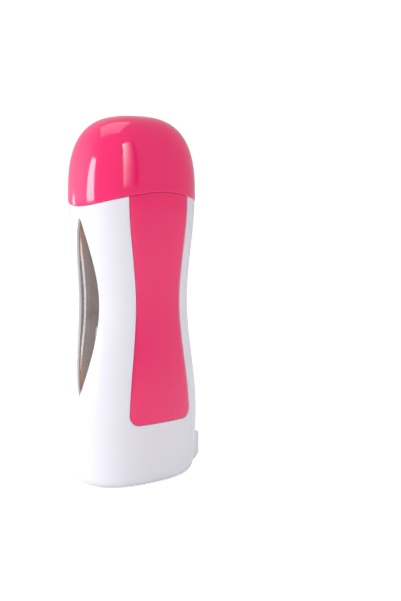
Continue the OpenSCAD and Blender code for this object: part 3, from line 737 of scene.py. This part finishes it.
def make_handling_group():
    """Faint smears and dust from handling: a value that varies slowly, for colour and roughness."""
    group, inside, out = node_group(
        "handling_marks",
        [("Scale", "NodeSocketFloat", 40.0), ("Smear", "NodeSocketFloat", 0.5)],
        [("Mark", "NodeSocketFloat"), ("Tint", "NodeSocketFloat")])
    place_node = add(group, "ShaderNodeTexCoord")
    broad = add(group, "ShaderNodeTexNoise")
    broad.inputs["Detail"].default_value = 3.0
    fine = add(group, "ShaderNodeTexNoise")
    fine.inputs["Detail"].default_value = 5.0
    fine.inputs["Roughness"].default_value = 0.65
    for noise in (broad, fine):
        group.links.new(place_node.outputs["Object"], noise.inputs["Vector"])
    group.links.new(inside.outputs["Scale"], broad.inputs["Scale"])
    group.links.new(math_node(group, "MULTIPLY", inside.outputs["Scale"], 7.0), fine.inputs["Scale"])
    mark = math_node(group, "MULTIPLY", broad.outputs["Fac"], fine.outputs["Fac"])
    group.links.new(math_node(group, "MULTIPLY", mark, inside.outputs["Smear"]), out.inputs["Mark"])
    group.links.new(broad.outputs["Fac"], out.inputs["Tint"])
    return group


def make_grain_group():
    """The fine relief of a moulded surface: flow ripple and a tight grain, as a height."""
    group, inside, out = node_group(
        "mould_grain",
        [("Grain scale", "NodeSocketFloat", 2500.0), ("Ripple scale", "NodeSocketFloat", 60.0),
         ("Ripple share", "NodeSocketFloat", 0.5)],
        [("Height", "NodeSocketFloat")])
    place_node = add(group, "ShaderNodeTexCoord")
    grain = add(group, "ShaderNodeTexNoise")
    grain.inputs["Detail"].default_value = 2.0
    ripple = add(group, "ShaderNodeTexNoise")
    ripple.inputs["Detail"].default_value = 1.0
    for noise, scale in ((grain, "Grain scale"), (ripple, "Ripple scale")):
        group.links.new(place_node.outputs["Object"], noise.inputs["Vector"])
        group.links.new(inside.outputs[scale], noise.inputs["Scale"])
    share = inside.outputs["Ripple share"]
    slow = math_node(group, "MULTIPLY", ripple.outputs["Fac"], share)
    quick = math_node(group, "MULTIPLY", grain.outputs["Fac"], math_node(group, "SUBTRACT", 1.0, share))
    group.links.new(math_node(group, "ADD", slow, quick), out.inputs["Height"])
    return group


MARK_SCALE = 40.0
HANDLING = make_handling_group()
GRAIN = make_grain_group()


def finish(name, color, roughness, smear=0.06, tint=0.05, grain=0.02, grain_scale=2500.0, ripple=0.0,
           coat=0.0, coat_roughness=0.05, metallic=0.0):
    """A moulded or metal finish: colour and gloss that vary a little, with a fine relief."""
    material = bpy.data.materials.new(name)
    material.use_nodes = True
    tree = material.node_tree
    shader = tree.nodes["Principled BSDF"]
    shader.inputs["Metallic"].default_value = metallic
    shader.inputs["Coat Weight"].default_value = coat
    shader.inputs["Coat Roughness"].default_value = coat_roughness
    marks = add(tree, "ShaderNodeGroup", node_tree=HANDLING)
    marks.inputs["Scale"].default_value = MARK_SCALE
    marks.inputs["Smear"].default_value = smear * 2
    colour = add(tree, "ShaderNodeMix", data_type="RGBA")
    colour.inputs["A"].default_value = (*[c * (1 - tint) for c in color], 1)
    colour.inputs["B"].default_value = (*[min(c * (1 + tint), 1) for c in color], 1)
    tree.links.new(marks.outputs["Tint"], colour.inputs["Factor"])
    tree.links.new(colour.outputs["Result"], shader.inputs["Base Color"])
    rough = math_node(tree, "ADD", roughness, marks.outputs["Mark"])
    tree.links.new(rough, shader.inputs["Roughness"])
    if grain:
        relief = add(tree, "ShaderNodeGroup", node_tree=GRAIN)
        relief.inputs["Grain scale"].default_value = grain_scale
        relief.inputs["Ripple share"].default_value = ripple
        bump = add(tree, "ShaderNodeBump")
        bump.inputs["Strength"].default_value = grain
        bump.inputs["Distance"].default_value = 0.1 * MM
        tree.links.new(relief.outputs["Height"], bump.inputs["Height"])
        tree.links.new(bump.outputs["Normal"], shader.inputs["Normal"])
    return material


PINK = finish("pink_gloss_plastic", (0.92, 0.014, 0.15), 0.09, smear=0.04, tint=0.03, grain=0.0, coat=0.45,
              coat_roughness=0.06)
WHITE = finish("white_gloss_plastic", (0.80, 0.785, 0.86), 0.17, smear=0.08, tint=0.012, grain=0.0)
SATIN = finish("white_satin_plastic", (0.78, 0.77, 0.82), 0.38, grain=0.25, grain_scale=3500.0)
FRAME = finish("ivory_frame_plastic", (0.82, 0.79, 0.72), 0.25, grain=0.0)
ROLLER = finish("roller_plastic", (0.80, 0.76, 0.68), 0.2, grain=0.04, coat=0.3)
ALUMINIUM = finish("drawn_aluminium", (0.72, 0.72, 0.74), 0.3, smear=0.15, metallic=1.0, grain=0.1,
                   grain_scale=900.0)
STEEL = finish("zinc_plated_steel", (0.62, 0.62, 0.64), 0.28, smear=0.2, metallic=1.0, grain=0.1)
NICKEL = finish("nickel_plated_brass", (0.75, 0.72, 0.66), 0.16, smear=0.1, metallic=1.0, grain=0.0)
SILICONE = finish("grey_silicone", (0.2, 0.2, 0.21), 0.6, grain=0.2)
HEATPROOF = finish("heatproof_plastic", (0.66, 0.56, 0.38), 0.5, grain=0.4, grain_scale=1500.0, tint=0.1)
PHENOLIC = finish("phenolic", (0.04, 0.03, 0.03), 0.4, grain=0.2)
CERAMIC = finish("glazed_ceramic", (0.75, 0.73, 0.68), 0.15, grain=0.0, coat=0.5)
BOARD = finish("fibreglass_board", (0.03, 0.16, 0.06), 0.35, grain=0.3, grain_scale=1200.0, tint=0.15)
BOX_YELLOW = finish("capacitor_case", (0.6, 0.4, 0.06), 0.3, grain=0.1)
LAMP = finish("orange_lamp", (0.95, 0.25, 0.05), 0.12, grain=0.0, coat=0.5)
WAX = finish("honey_wax", (0.50, 0.22, 0.06), 0.3, grain=0.1, grain_scale=300.0, ripple=0.7, tint=0.2)
BROWN_LEAD = finish("brown_insulation", (0.12, 0.05, 0.02), 0.4)
BLUE_LEAD = finish("blue_insulation", (0.03, 0.09, 0.3), 0.4)
RED_LEAD = finish("red_silicone_insulation", (0.45, 0.03, 0.02), 0.5)


def make_window_material():
    """Smoked clear plastic. Towards both ends, it is tinted amber along the rear edge."""
    material = finish("smoked_clear_plastic", (0.165, 0.125, 0.118), 0.05, smear=0.04, tint=0.06,
                      grain=0.0, coat=0.6)
    tree = material.node_tree
    shader = tree.nodes["Principled BSDF"]
    shader.inputs["Alpha"].default_value = 0.72
    where = add(tree, "ShaderNodeTexCoord")
    split = add(tree, "ShaderNodeSeparateXYZ")
    tree.links.new(where.outputs["Object"], split.inputs[0])
    away = math_node(tree, "ABSOLUTE", math_node(tree, "SUBTRACT", split.outputs["Z"], WINDOW_MID), 0.0)
    ends = add(tree, "ShaderNodeMapRange", interpolation_type="SMOOTHSTEP")
    ends.inputs["From Min"].default_value = 0.35 * WINDOW_REACH
    ends.inputs["From Max"].default_value = 0.85 * WINDOW_REACH
    tree.links.new(away, ends.inputs["Value"])
    side = math_node(tree, "MULTIPLY", split.outputs["X"], split.outputs["Y"])
    rear = add(tree, "ShaderNodeMapRange", interpolation_type="SMOOTHSTEP")
    rear.inputs["From Min"].default_value = 1.6 * MM * WAIST_W
    rear.inputs["From Max"].default_value = -2.4 * MM * WAIST_W
    tree.links.new(side, rear.inputs["Value"])
    amber = add(tree, "ShaderNodeMix", data_type="RGBA")
    amber.inputs["B"].default_value = (0.36, 0.15, 0.08, 1)
    tree.links.new(math_node(tree, "MULTIPLY", ends.outputs["Result"], rear.outputs["Result"]),
                   amber.inputs["Factor"])
    tree.links.new(shader.inputs["Base Color"].links[0].from_socket, amber.inputs["A"])
    tree.links.new(amber.outputs["Result"], shader.inputs["Base Color"])
    return material


def make_bottle_material():
    material = finish("milky_bottle_plastic", (0.86, 0.82, 0.74), 0.22, smear=0.1, grain=0.05, coat=0.2)
    material.node_tree.nodes["Principled BSDF"].inputs["Alpha"].default_value = 0.2
    return material


SMOKED = make_window_material()
BOTTLE = make_bottle_material()


# ---------------------------------------------------------------------------------------------
# Geometry Nodes: screws and insulated leads
# ---------------------------------------------------------------------------------------------
class Tree:
    """A Geometry Nodes tree with named inputs that ends in Realize Instances and Set Material."""

    def __init__(self, name, inputs):
        self.tree = bpy.data.node_groups.new(name, "GeometryNodeTree")
        face = self.tree.interface
        face.new_socket("Geometry", in_out="INPUT", socket_type="NodeSocketGeometry")
        for label, kind, default in inputs:
            socket = face.new_socket(label, in_out="INPUT", socket_type=kind)
            if default is not None:
                socket.default_value = default
        face.new_socket("Geometry", in_out="OUTPUT", socket_type="NodeSocketGeometry")
        self.given = self.tree.nodes.new("NodeGroupInput").outputs
        self.out = self.tree.nodes.new("NodeGroupOutput")

    def add(self, kind, links=None, **values):
        node = self.tree.nodes.new(kind)
        for key, value in values.items():
            setattr(node, key, value)
        for key, value in (links or {}).items():
            if isinstance(value, bpy.types.NodeSocket):
                self.tree.links.new(value, node.inputs[key])
            else:
                node.inputs[key].default_value = value
        return node

    def finish(self, geometry):
        real = self.add("GeometryNodeRealizeInstances", {"Geometry": geometry}).outputs[0]
        smooth = self.add("GeometryNodeSetShadeSmooth", {"Geometry": real, "Shade Smooth": True}).outputs[0]
        painted = self.add("GeometryNodeSetMaterial", {
            "Geometry": smooth, "Material": self.given["Material"]})
        self.tree.links.new(painted.outputs[0], self.out.inputs[0])
        return self.tree


def grown(name, mesh, tree, values, sharp=math.radians(35)):
    """Runs a tree on a mesh and keeps the result as a plain mesh object."""
    source = bpy.data.objects.new(name + "_source", mesh)
    bpy.context.collection.objects.link(source)
    modifier = source.modifiers.new("grown", "NODES")
    modifier.node_group = tree
    for item in tree.interface.items_tree:
        if item.item_type == "SOCKET" and item.in_out == "INPUT" and item.name in values:
            modifier[item.identifier] = values[item.name]
    bpy.context.view_layer.update()
    evaluated = source.evaluated_get(bpy.context.evaluated_depsgraph_get())
    made = bpy.data.meshes.new_from_object(evaluated)
    bpy.data.objects.remove(source)
    work = bmesh.new()
    work.from_mesh(made)
    bpy.data.meshes.remove(made)
    bmesh.ops.remove_doubles(work, verts=work.verts, dist=WELD)
    bmesh.ops.dissolve_degenerate(work, edges=work.edges, dist=WELD)
    return finish_mesh(work, name, sharp)


def point_mesh(name, points, edges=()):
    mesh = bpy.data.meshes.new(name)
    mesh.from_pydata([tuple(p) for p in points], list(edges), [])
    return mesh


SCREW_COLUMNS = 36
THREAD_PITCH = 0.5 * MM
THREAD_ROOT = 0.84  # root radius as a share of the shank's
THREAD_START = 0.2 * MM
PLAIN_LENGTH = 1.2 * MM
POINT_LENGTH = 0.8 * MM
CROSS_HALF_W = 0.3 * MM
CROSS_REACH = 1.3 * MM
CROSS_DEPTH = 0.6  # share of the head's height


def screw_shape(head_r, head_h, shank_r, length):
    """One pan-head screw, head down, with a cross in the head and rings of thread on the shank."""
    work = bmesh.new()
    threads = int((length - PLAIN_LENGTH) / THREAD_PITCH)
    root_r = THREAD_ROOT * shank_r
    profile = [(0.80 * head_r, 0.0), (0.93 * head_r, 0.14 * head_h), (head_r, 0.45 * head_h),
               (head_r, head_h), (shank_r, head_h)]
    for k in range(threads):
        z = head_h + THREAD_START + THREAD_PITCH * k
        profile += [(root_r, z + 0.3 * THREAD_PITCH), (shank_r, z + 0.8 * THREAD_PITCH)]
    profile += [(root_r, head_h + length - POINT_LENGTH), (0.4 * shank_r, head_h + length)]
    turns = np.linspace(0, 2 * math.pi, SCREW_COLUMNS, endpoint=False)
    rings = [[work.verts.new((r * math.cos(a), r * math.sin(a), z)) for a in turns] for r, z in profile]
    for lower, upper in zip(rings, rings[1:]):
        for k in range(SCREW_COLUMNS):
            after = (k + 1) % SCREW_COLUMNS
            work.faces.new([lower[k], lower[after], upper[after], upper[k]])
    work.faces.new(rings[-1])
    w, r = CROSS_HALF_W, CROSS_REACH
    cross = [(r, -w), (r, w), (w, w), (w, r), (-w, r), (-w, w), (-r, w), (-r, -w), (-w, -w), (-w, -r),
             (w, -r), (w, -w)]
    mouth = [work.verts.new((x, y, 0.0)) for x, y in cross]
    floor = [work.verts.new((x, y, CROSS_DEPTH * head_h)) for x, y in cross]
    rim = [work.edges.get((rings[0][k], rings[0][k - 1])) for k in range(SCREW_COLUMNS)]
    lip = []
    for k in range(len(cross)):
        lip.append(work.edges.new((mouth[k - 1], mouth[k])))
        work.faces.new([mouth[k - 1], mouth[k], floor[k], floor[k - 1]])
    work.faces.new(floor)
    bmesh.ops.triangle_fill(work, use_beauty=True, edges=rim + lip)
    return finish_mesh(work, "screw_shape", math.radians(35))


def make_screw_tree():
    tree = Tree("pan_head_screws", [
        ("Screw", "NodeSocketObject", None), ("Turn", "NodeSocketVector", None),
        ("Material", "NodeSocketMaterial", None)])
    screw = tree.add("GeometryNodeObjectInfo", {"Object": tree.given["Screw"]}).outputs["Geometry"]
    points = tree.add("GeometryNodeMeshToPoints", {"Mesh": tree.given["Geometry"]}).outputs[0]
    turn = tree.add("FunctionNodeEulerToRotation", {"Euler": tree.given["Turn"]}).outputs[0]
    copies = tree.add("GeometryNodeInstanceOnPoints", {
        "Points": points, "Instance": screw, "Rotation": turn}).outputs[0]
    return tree.finish(copies)


def make_lead_tree():
    tree = Tree("insulated_lead", [
        ("Lead radius", "NodeSocketFloat", 0.9 * MM), ("Steps", "NodeSocketInt", 64),
        ("Material", "NodeSocketMaterial", None)])
    curve = tree.add("GeometryNodeMeshToCurve", {"Mesh": tree.given["Geometry"]}).outputs[0]
    bent = tree.add("GeometryNodeCurveSplineType", {"Curve": curve}, spline_type="CATMULL_ROM").outputs[0]
    even = tree.add("GeometryNodeResampleCurve", {"Curve": bent, "Count": tree.given["Steps"]}).outputs[0]
    ring = tree.add("GeometryNodeCurvePrimitiveCircle", {
        "Resolution": 16, "Radius": tree.given["Lead radius"]}).outputs["Curve"]
    tube = tree.add("GeometryNodeCurveToMesh", {
        "Curve": even, "Profile Curve": ring, "Fill Caps": True}).outputs[0]
    return tree.finish(tube)


SCREWS = make_screw_tree()
LEAD = make_lead_tree()


# ---------------------------------------------------------------------------------------------
# Pieces
# ---------------------------------------------------------------------------------------------
def settle(piece, material, body, slot, *nodes):
    """Gives a finished piece its finish and its body, and hides the CAD nodes that it stands for."""
    piece.data.materials.clear()
    piece.data.materials.append(material)
    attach(piece, body)
    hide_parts(*nodes)


def add_cap_ribs(piece):
    """Eight ribs inside the cap's skirt, which centre it on the collar."""
    collar_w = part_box("top_collar")[1].x
    collar_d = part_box("top_collar")[1].y
    low, high = BODY_H + RIM_WAVE + 0.5 * MM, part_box("top_collar")[1].z
    work = bmesh.new()
    work.from_mesh(piece.data)
    for angle in np.radians(np.arange(22.5, 360, 45)):
        power = 2 / OVAL_POWER
        x = collar_w * math.copysign(abs(math.cos(angle)) ** power, math.cos(angle))
        y = collar_d * math.copysign(abs(math.sin(angle)) ** power, math.sin(angle))
        rib = bmesh.new()
        bmesh.ops.create_cube(rib, size=1.0)
        for corner in rib.verts:
            near = corner.co.x < 0
            corner.co.x = (0.3 if near else 2.6) * MM
            corner.co.y *= 1.2 * MM
            inset = 1.0 * MM if near else 0.0
            corner.co.z = low + inset if corner.co.z < 0 else high - inset
        bmesh.ops.bevel(rib, geom=rib.edges[:], offset=0.2 * MM, offset_type="OFFSET", segments=2,
                        profile=0.5, affect="EDGES")
        outwards = Matrix.Rotation(math.atan2(y, x), 3, "Z")
        bmesh.ops.rotate(rib, verts=rib.verts, cent=(0, 0, 0), matrix=outwards)
        bmesh.ops.translate(rib, verts=rib.verts, vec=(x, y, 0))
        carried = bpy.data.meshes.new("rib")
        rib.to_mesh(carried)
        rib.free()
        work.from_mesh(carried)
        bpy.data.meshes.remove(carried)
    work.to_mesh(piece.data)
    work.free()
    piece.data.shade_smooth()
    piece.data.set_sharp_from_angle(angle=math.radians(50))


def make_housing():
    settle(shell("front_half_shell", True, False, False), WHITE, "housing", "white_shell", "front_shell")
    settle(shell("rear_half_shell", False, True, True), WHITE, "housing", "white_shell", "rear_shell")
    settle(panel("front_colour_panel", False), PINK, "housing", "pink_gloss", "front_panel")
    settle(panel("rear_colour_panel", True), PINK, "housing", "pink_gloss", "rear_panel")
    settle(window("right_side_window", False), SMOKED, "housing", "smoked_window", "right_window")
    settle(window("left_side_window", True), SMOKED, "housing", "smoked_window", "left_window")
    lid = cap("dome_cap")
    add_cap_ribs(lid)
    settle(lid, PINK, "cap", "pink_gloss", "cap")


def make_softened_pieces():
    rows = [
        ("top_collar", 0.3, SATIN, "housing", "white_satin"),
        ("well_gasket", 0.3, SILICONE, "housing", "grey_silicone"),
        ("heated_well", 0.25, ALUMINIUM, "housing", "well_aluminium"),
        ("well_seat", 0.3, HEATPROOF, "housing", "heatproof_plastic"),
        ("front_heater", 0.3, STEEL, "housing", "plated_steel"),
        ("rear_heater", 0.3, STEEL, "housing", "plated_steel"),
        ("heater_clips", 0.1, STEEL, "housing", "plated_steel"),
        ("thermostat", 0.25, PHENOLIC, "housing", "dark_plastic"),
        ("thermal_fuse", 0.15, CERAMIC, "housing", "fuse_ceramic"),
        ("circuit_board", 0.15, BOARD, "housing", "board_green"),
        ("capacitor", 0.5, BOX_YELLOW, "housing", "capacitor_yellow"),
        ("indicator_lamp", 0.15, LAMP, "housing", "lamp_orange"),
        ("mains_inlet", 0.35, SATIN, "housing", "inlet_white"),
        ("inlet_pins", 0.35, NICKEL, "housing", "pin_brass"),
        ("base_cover", 0.3, SATIN, "housing", "white_satin"),
        ("cartridge_bottle", 0.4, BOTTLE, "cartridge", "bottle_plastic"),
        ("wax_fill", 0.6, WAX, "cartridge", "amber_wax"),
        ("roller_frame", 0.35, FRAME, "cartridge", "frame_plastic"),
        ("roller", 0.6, ROLLER, "roller", "roller_plastic"),
    ]
    for node, width, material, body, slot_name in rows:
        settle(softened(node, width * MM), material, body, slot_name, node)


def make_screws():
    """The four base screws, heads down, and the two screws that hold the shells together."""
    head_r, head_h, shank_r = 2.5 * MM, 0.9 * MM, 1.25 * MM
    low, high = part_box("base_screws")
    x, y = high.x - head_r, high.y - head_r
    base_spots = [(a * x, b * y, low.z) for a in (-1, 1) for b in (-1, 1)]
    base_length = high.z - low.z - head_h
    low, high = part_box("shell_screws")
    x, z = high.x - head_r, (low.z + high.z) / 2
    side_spots = [(a * x, high.y, z) for a in (-1, 1)]
    side_length = high.y - low.y - head_h
    for node, spots, length, turn in (
            ("base_screws", base_spots, base_length, (0.0, 0.0, 0.0)),
            ("shell_screws", side_spots, side_length, (math.pi / 2, 0.0, 0.0))):
        shape = screw_shape(head_r, head_h, shank_r, length)
        piece = grown(node + "_set", point_mesh(node + "_spots", spots), SCREWS,
                      {"Screw": shape, "Turn": turn, "Material": STEEL})
        bpy.data.objects.remove(shape)
        settle(piece, STEEL, "housing", "plated_steel", node)


LEAD_R = 0.9 * MM
LEAD_STEPS = 64
PIN_TAG_HALF_W = 1.6 * MM


def make_leads():
    """Four insulated leads: two from the inlet to the board, and one up to each heater."""
    tag_x = pins_low.x - LEAD_R
    pin_y = pins_high.y - PIN_TAG_HALF_W
    board_low, board_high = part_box("circuit_board")
    for node, side, material, slot_name in (
            ("live_lead", 1, BROWN_LEAD, "brown_lead"), ("neutral_lead", -1, BLUE_LEAD, "blue_lead")):
        y = side * pin_y
        steps = [(0.8, 0, 0), (-2, 0, 0.4), (-4.5, 0, 2), (-5.8, side, 5)]
        path = [(tag_x + dx * MM, y + dy * MM, INLET_Z + dz * MM) for dx, dy, dz in steps]
        path += [(tag_x - 6 * MM, y + 2 * side * MM, board_low.z - drop * MM) for drop in (4, 0.1)]
        add_lead(node, path, material, slot_name)
    for node, side in (("front_heater_lead", -1), ("rear_heater_lead", 1)):
        heater_low, heater_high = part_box(node.replace("_lead", ""))
        far = side * (abs(heater_low.y) + abs(heater_high.y)) / 2
        top = board_high.z
        path = [(8 * MM, side * 8 * MM, top + 0.1 * MM), (8 * MM, side * 8 * MM, top + 3 * MM),
                (8 * MM, far - side * 9 * MM, top + 6 * MM), (7 * MM, far - side * 4 * MM, top + 9 * MM),
                (6 * MM, far - side * 1 * MM, top + 12 * MM), (6 * MM, far, heater_low.z - 3 * MM),
                (6 * MM, far, heater_low.z - 0.1 * MM)]
        add_lead(node, path, RED_LEAD, "red_lead")


def add_lead(node, path, material, slot_name):
    edges = [(k, k + 1) for k in range(len(path) - 1)]
    piece = grown(node + "_wire", point_mesh(node + "_path", path, edges), LEAD,
                  {"Lead radius": LEAD_R, "Steps": LEAD_STEPS, "Material": material})
    settle(piece, material, "housing", slot_name, node)


make_housing()
make_softened_pieces()
make_screws()
make_leads()


# ---------------------------------------------------------------------------------------------
# Camera, floor and light
# ---------------------------------------------------------------------------------------------
AZIMUTH = math.radians(-43.2)
ELEVATION = math.radians(5.66)
ROLL = math.radians(0.14)
DISTANCE = 648 * MM
back = Vector((math.sin(AZIMUTH) * math.cos(ELEVATION), -math.cos(AZIMUTH) * math.cos(ELEVATION),
               math.sin(ELEVATION)))
right = Vector((math.cos(AZIMUTH), math.sin(AZIMUTH), 0.0))
up = back.cross(right)
aim = Vector((0, 0, 0.5 * HEIGHT)) + right * 39.64 * MM - up * 1.0 * MM


def make_camera():
    lens = bpy.data.cameras.new("studio_camera")
    lens.sensor_fit = "AUTO"
    lens.sensor_width = 36.0
    lens.lens = 66.03
    camera = bpy.data.objects.new("studio_camera", lens)
    bpy.context.collection.objects.link(camera)
    turn = Matrix((right, up, back)).transposed().to_4x4() @ Matrix.Rotation(ROLL, 4, "Z")
    camera.matrix_world = Matrix.Translation(aim + back * DISTANCE) @ turn
    bpy.context.scene.camera = camera


def make_floor():
    floor_mesh = bpy.data.meshes.new("studio_floor")
    reach = 3.0
    corners = [(-reach, -reach, 0), (reach, -reach, 0), (reach, reach, 0), (-reach, reach, 0)]
    floor_mesh.from_pydata(corners, [], [(0, 1, 2, 3)])
    material = bpy.data.materials.new("studio_floor_paint")
    material.use_nodes = True
    tree = material.node_tree
    shader = tree.nodes["Principled BSDF"]
    shader.inputs["Base Color"].default_value = (0.86, 0.86, 0.86, 1)
    shader.inputs["Roughness"].default_value = 0.9
    shader.inputs["Specular IOR Level"].default_value = 0.0
    shader.inputs["Emission Color"].default_value = (1, 1, 1, 1)
    seen = add(tree, "ShaderNodeLightPath")
    glow = math_node(tree, "ADD", math_node(tree, "MULTIPLY", seen.outputs["Is Camera Ray"], 0.41), 0.15)
    tree.links.new(glow, shader.inputs["Emission Strength"])
    floor_mesh.materials.append(material)
    floor = bpy.data.objects.new("studio_floor", floor_mesh)
    bpy.context.collection.objects.link(floor)


def make_world():
    """Plain pale surroundings, brighter behind the left side and darker towards the right."""
    world = bpy.data.worlds.new("studio")
    bpy.context.scene.world = world
    world.use_nodes = True
    tree = world.node_tree
    shader = tree.nodes["Background"]
    where = add(tree, "ShaderNodeTexCoord")
    dot = add(tree, "ShaderNodeVectorMath", operation="DOT_PRODUCT")
    tree.links.new(where.outputs["Generated"], dot.inputs[0])
    dot.inputs[1].default_value = tuple(right)
    towards_left = math_node(tree, "MAXIMUM", math_node(tree, "MULTIPLY", dot.outputs["Value"], -1.0), 0.0)
    glow = math_node(tree, "MULTIPLY", math_node(tree, "POWER", towards_left, 4.0), 0.95)
    strength = math_node(tree, "ADD", glow, 0.50)
    seen = add(tree, "ShaderNodeLightPath")
    pick = add(tree, "ShaderNodeMix", data_type="FLOAT")
    tree.links.new(seen.outputs["Is Camera Ray"], pick.inputs["Factor"])
    tree.links.new(strength, pick.inputs["A"])
    pick.inputs["B"].default_value = 1.05
    shader.inputs["Color"].default_value = (1, 1, 1, 1)
    tree.links.new(pick.outputs["Result"], shader.inputs["Strength"])


def add_softbox(name, centre, facing, width, height, strength, fade=0.0, taper=1.0, roll=0.0):
    """A card that gives light, unseen by the camera. It can fade out across its width, and be narrower at
    the top.
    """
    mesh = bpy.data.meshes.new(name)
    w, h = width / 2, height / 2
    mesh.from_pydata([(-w, -h, 0), (w, -h, 0), (-w + width * taper, h, 0), (-w, h, 0)], [], [(0, 1, 2, 3)])
    material = bpy.data.materials.new(name + "_light")
    material.use_nodes = True
    tree = material.node_tree
    tree.nodes.clear()
    out = add(tree, "ShaderNodeOutputMaterial")
    glow = add(tree, "ShaderNodeEmission")
    tree.links.new(glow.outputs[0], out.inputs["Surface"])
    where = add(tree, "ShaderNodeTexCoord")
    split = add(tree, "ShaderNodeSeparateXYZ")
    tree.links.new(where.outputs["Object"], split.inputs[0])
    ramp = add(tree, "ShaderNodeMapRange")
    ramp.inputs["From Min"].default_value = -w
    ramp.inputs["From Max"].default_value = w
    ramp.inputs["To Min"].default_value = strength * (1 - fade)
    ramp.inputs["To Max"].default_value = strength
    tree.links.new(split.outputs["X"], ramp.inputs["Value"])
    power = math_node(tree, "POWER", math_node(tree, "DIVIDE", ramp.outputs["Result"], strength), 2.2)
    rise = add(tree, "ShaderNodeMapRange")
    rise.inputs["From Min"].default_value = -h
    rise.inputs["From Max"].default_value = h
    rise.inputs["To Min"].default_value = strength * (1 - 0.75 * fade)
    rise.inputs["To Max"].default_value = strength
    tree.links.new(split.outputs["Y"], rise.inputs["Value"])
    tree.links.new(math_node(tree, "MULTIPLY", power, rise.outputs["Result"]), glow.inputs["Strength"])
    mesh.materials.append(material)
    box = bpy.data.objects.new(name, mesh)
    bpy.context.collection.objects.link(box)
    turn = (facing - centre).to_track_quat("Z", "Y").to_matrix().to_4x4() @ Matrix.Rotation(roll, 4, "Z")
    box.matrix_world = Matrix.Translation(centre) @ turn
    box.visible_camera = False


def upright(azimuth, distance, low, high, width_angle, strength, name, fade=0.0, taper=1.0):
    """A standing softbox: where it is seen from the object, how wide, and from what height to what."""
    a = math.radians(azimuth)
    way = Vector((math.sin(a), -math.cos(a), 0))
    middle = (low + high) / 2
    width = 2 * distance * math.tan(math.radians(width_angle) / 2)
    target = Vector((0, 0, middle))
    add_softbox(name, way * distance + target, target, width, high - low, strength, fade, taper)


def make_lights():
    upright(-103, 1.4, 0.13, 0.80, 26, 9.5, "left_strip", taper=0.6)
    upright(3, 1.4, 0.24, 1.40, 26, 13.0, "front_box", fade=1.0)
    upright(-151, 0.5, 0.0, 0.165, 9, 6.0, "rim_strip")
    above = Vector((-0.13, 0.19, 1.4))
    add_softbox("top_box", above, above - Vector((0, 0, 1)), 1.0, 0.95, 1.9, roll=math.radians(48))


make_camera()
make_floor()
make_world()
make_lights()

scene = bpy.context.scene
scene.view_settings.view_transform = "Standard"
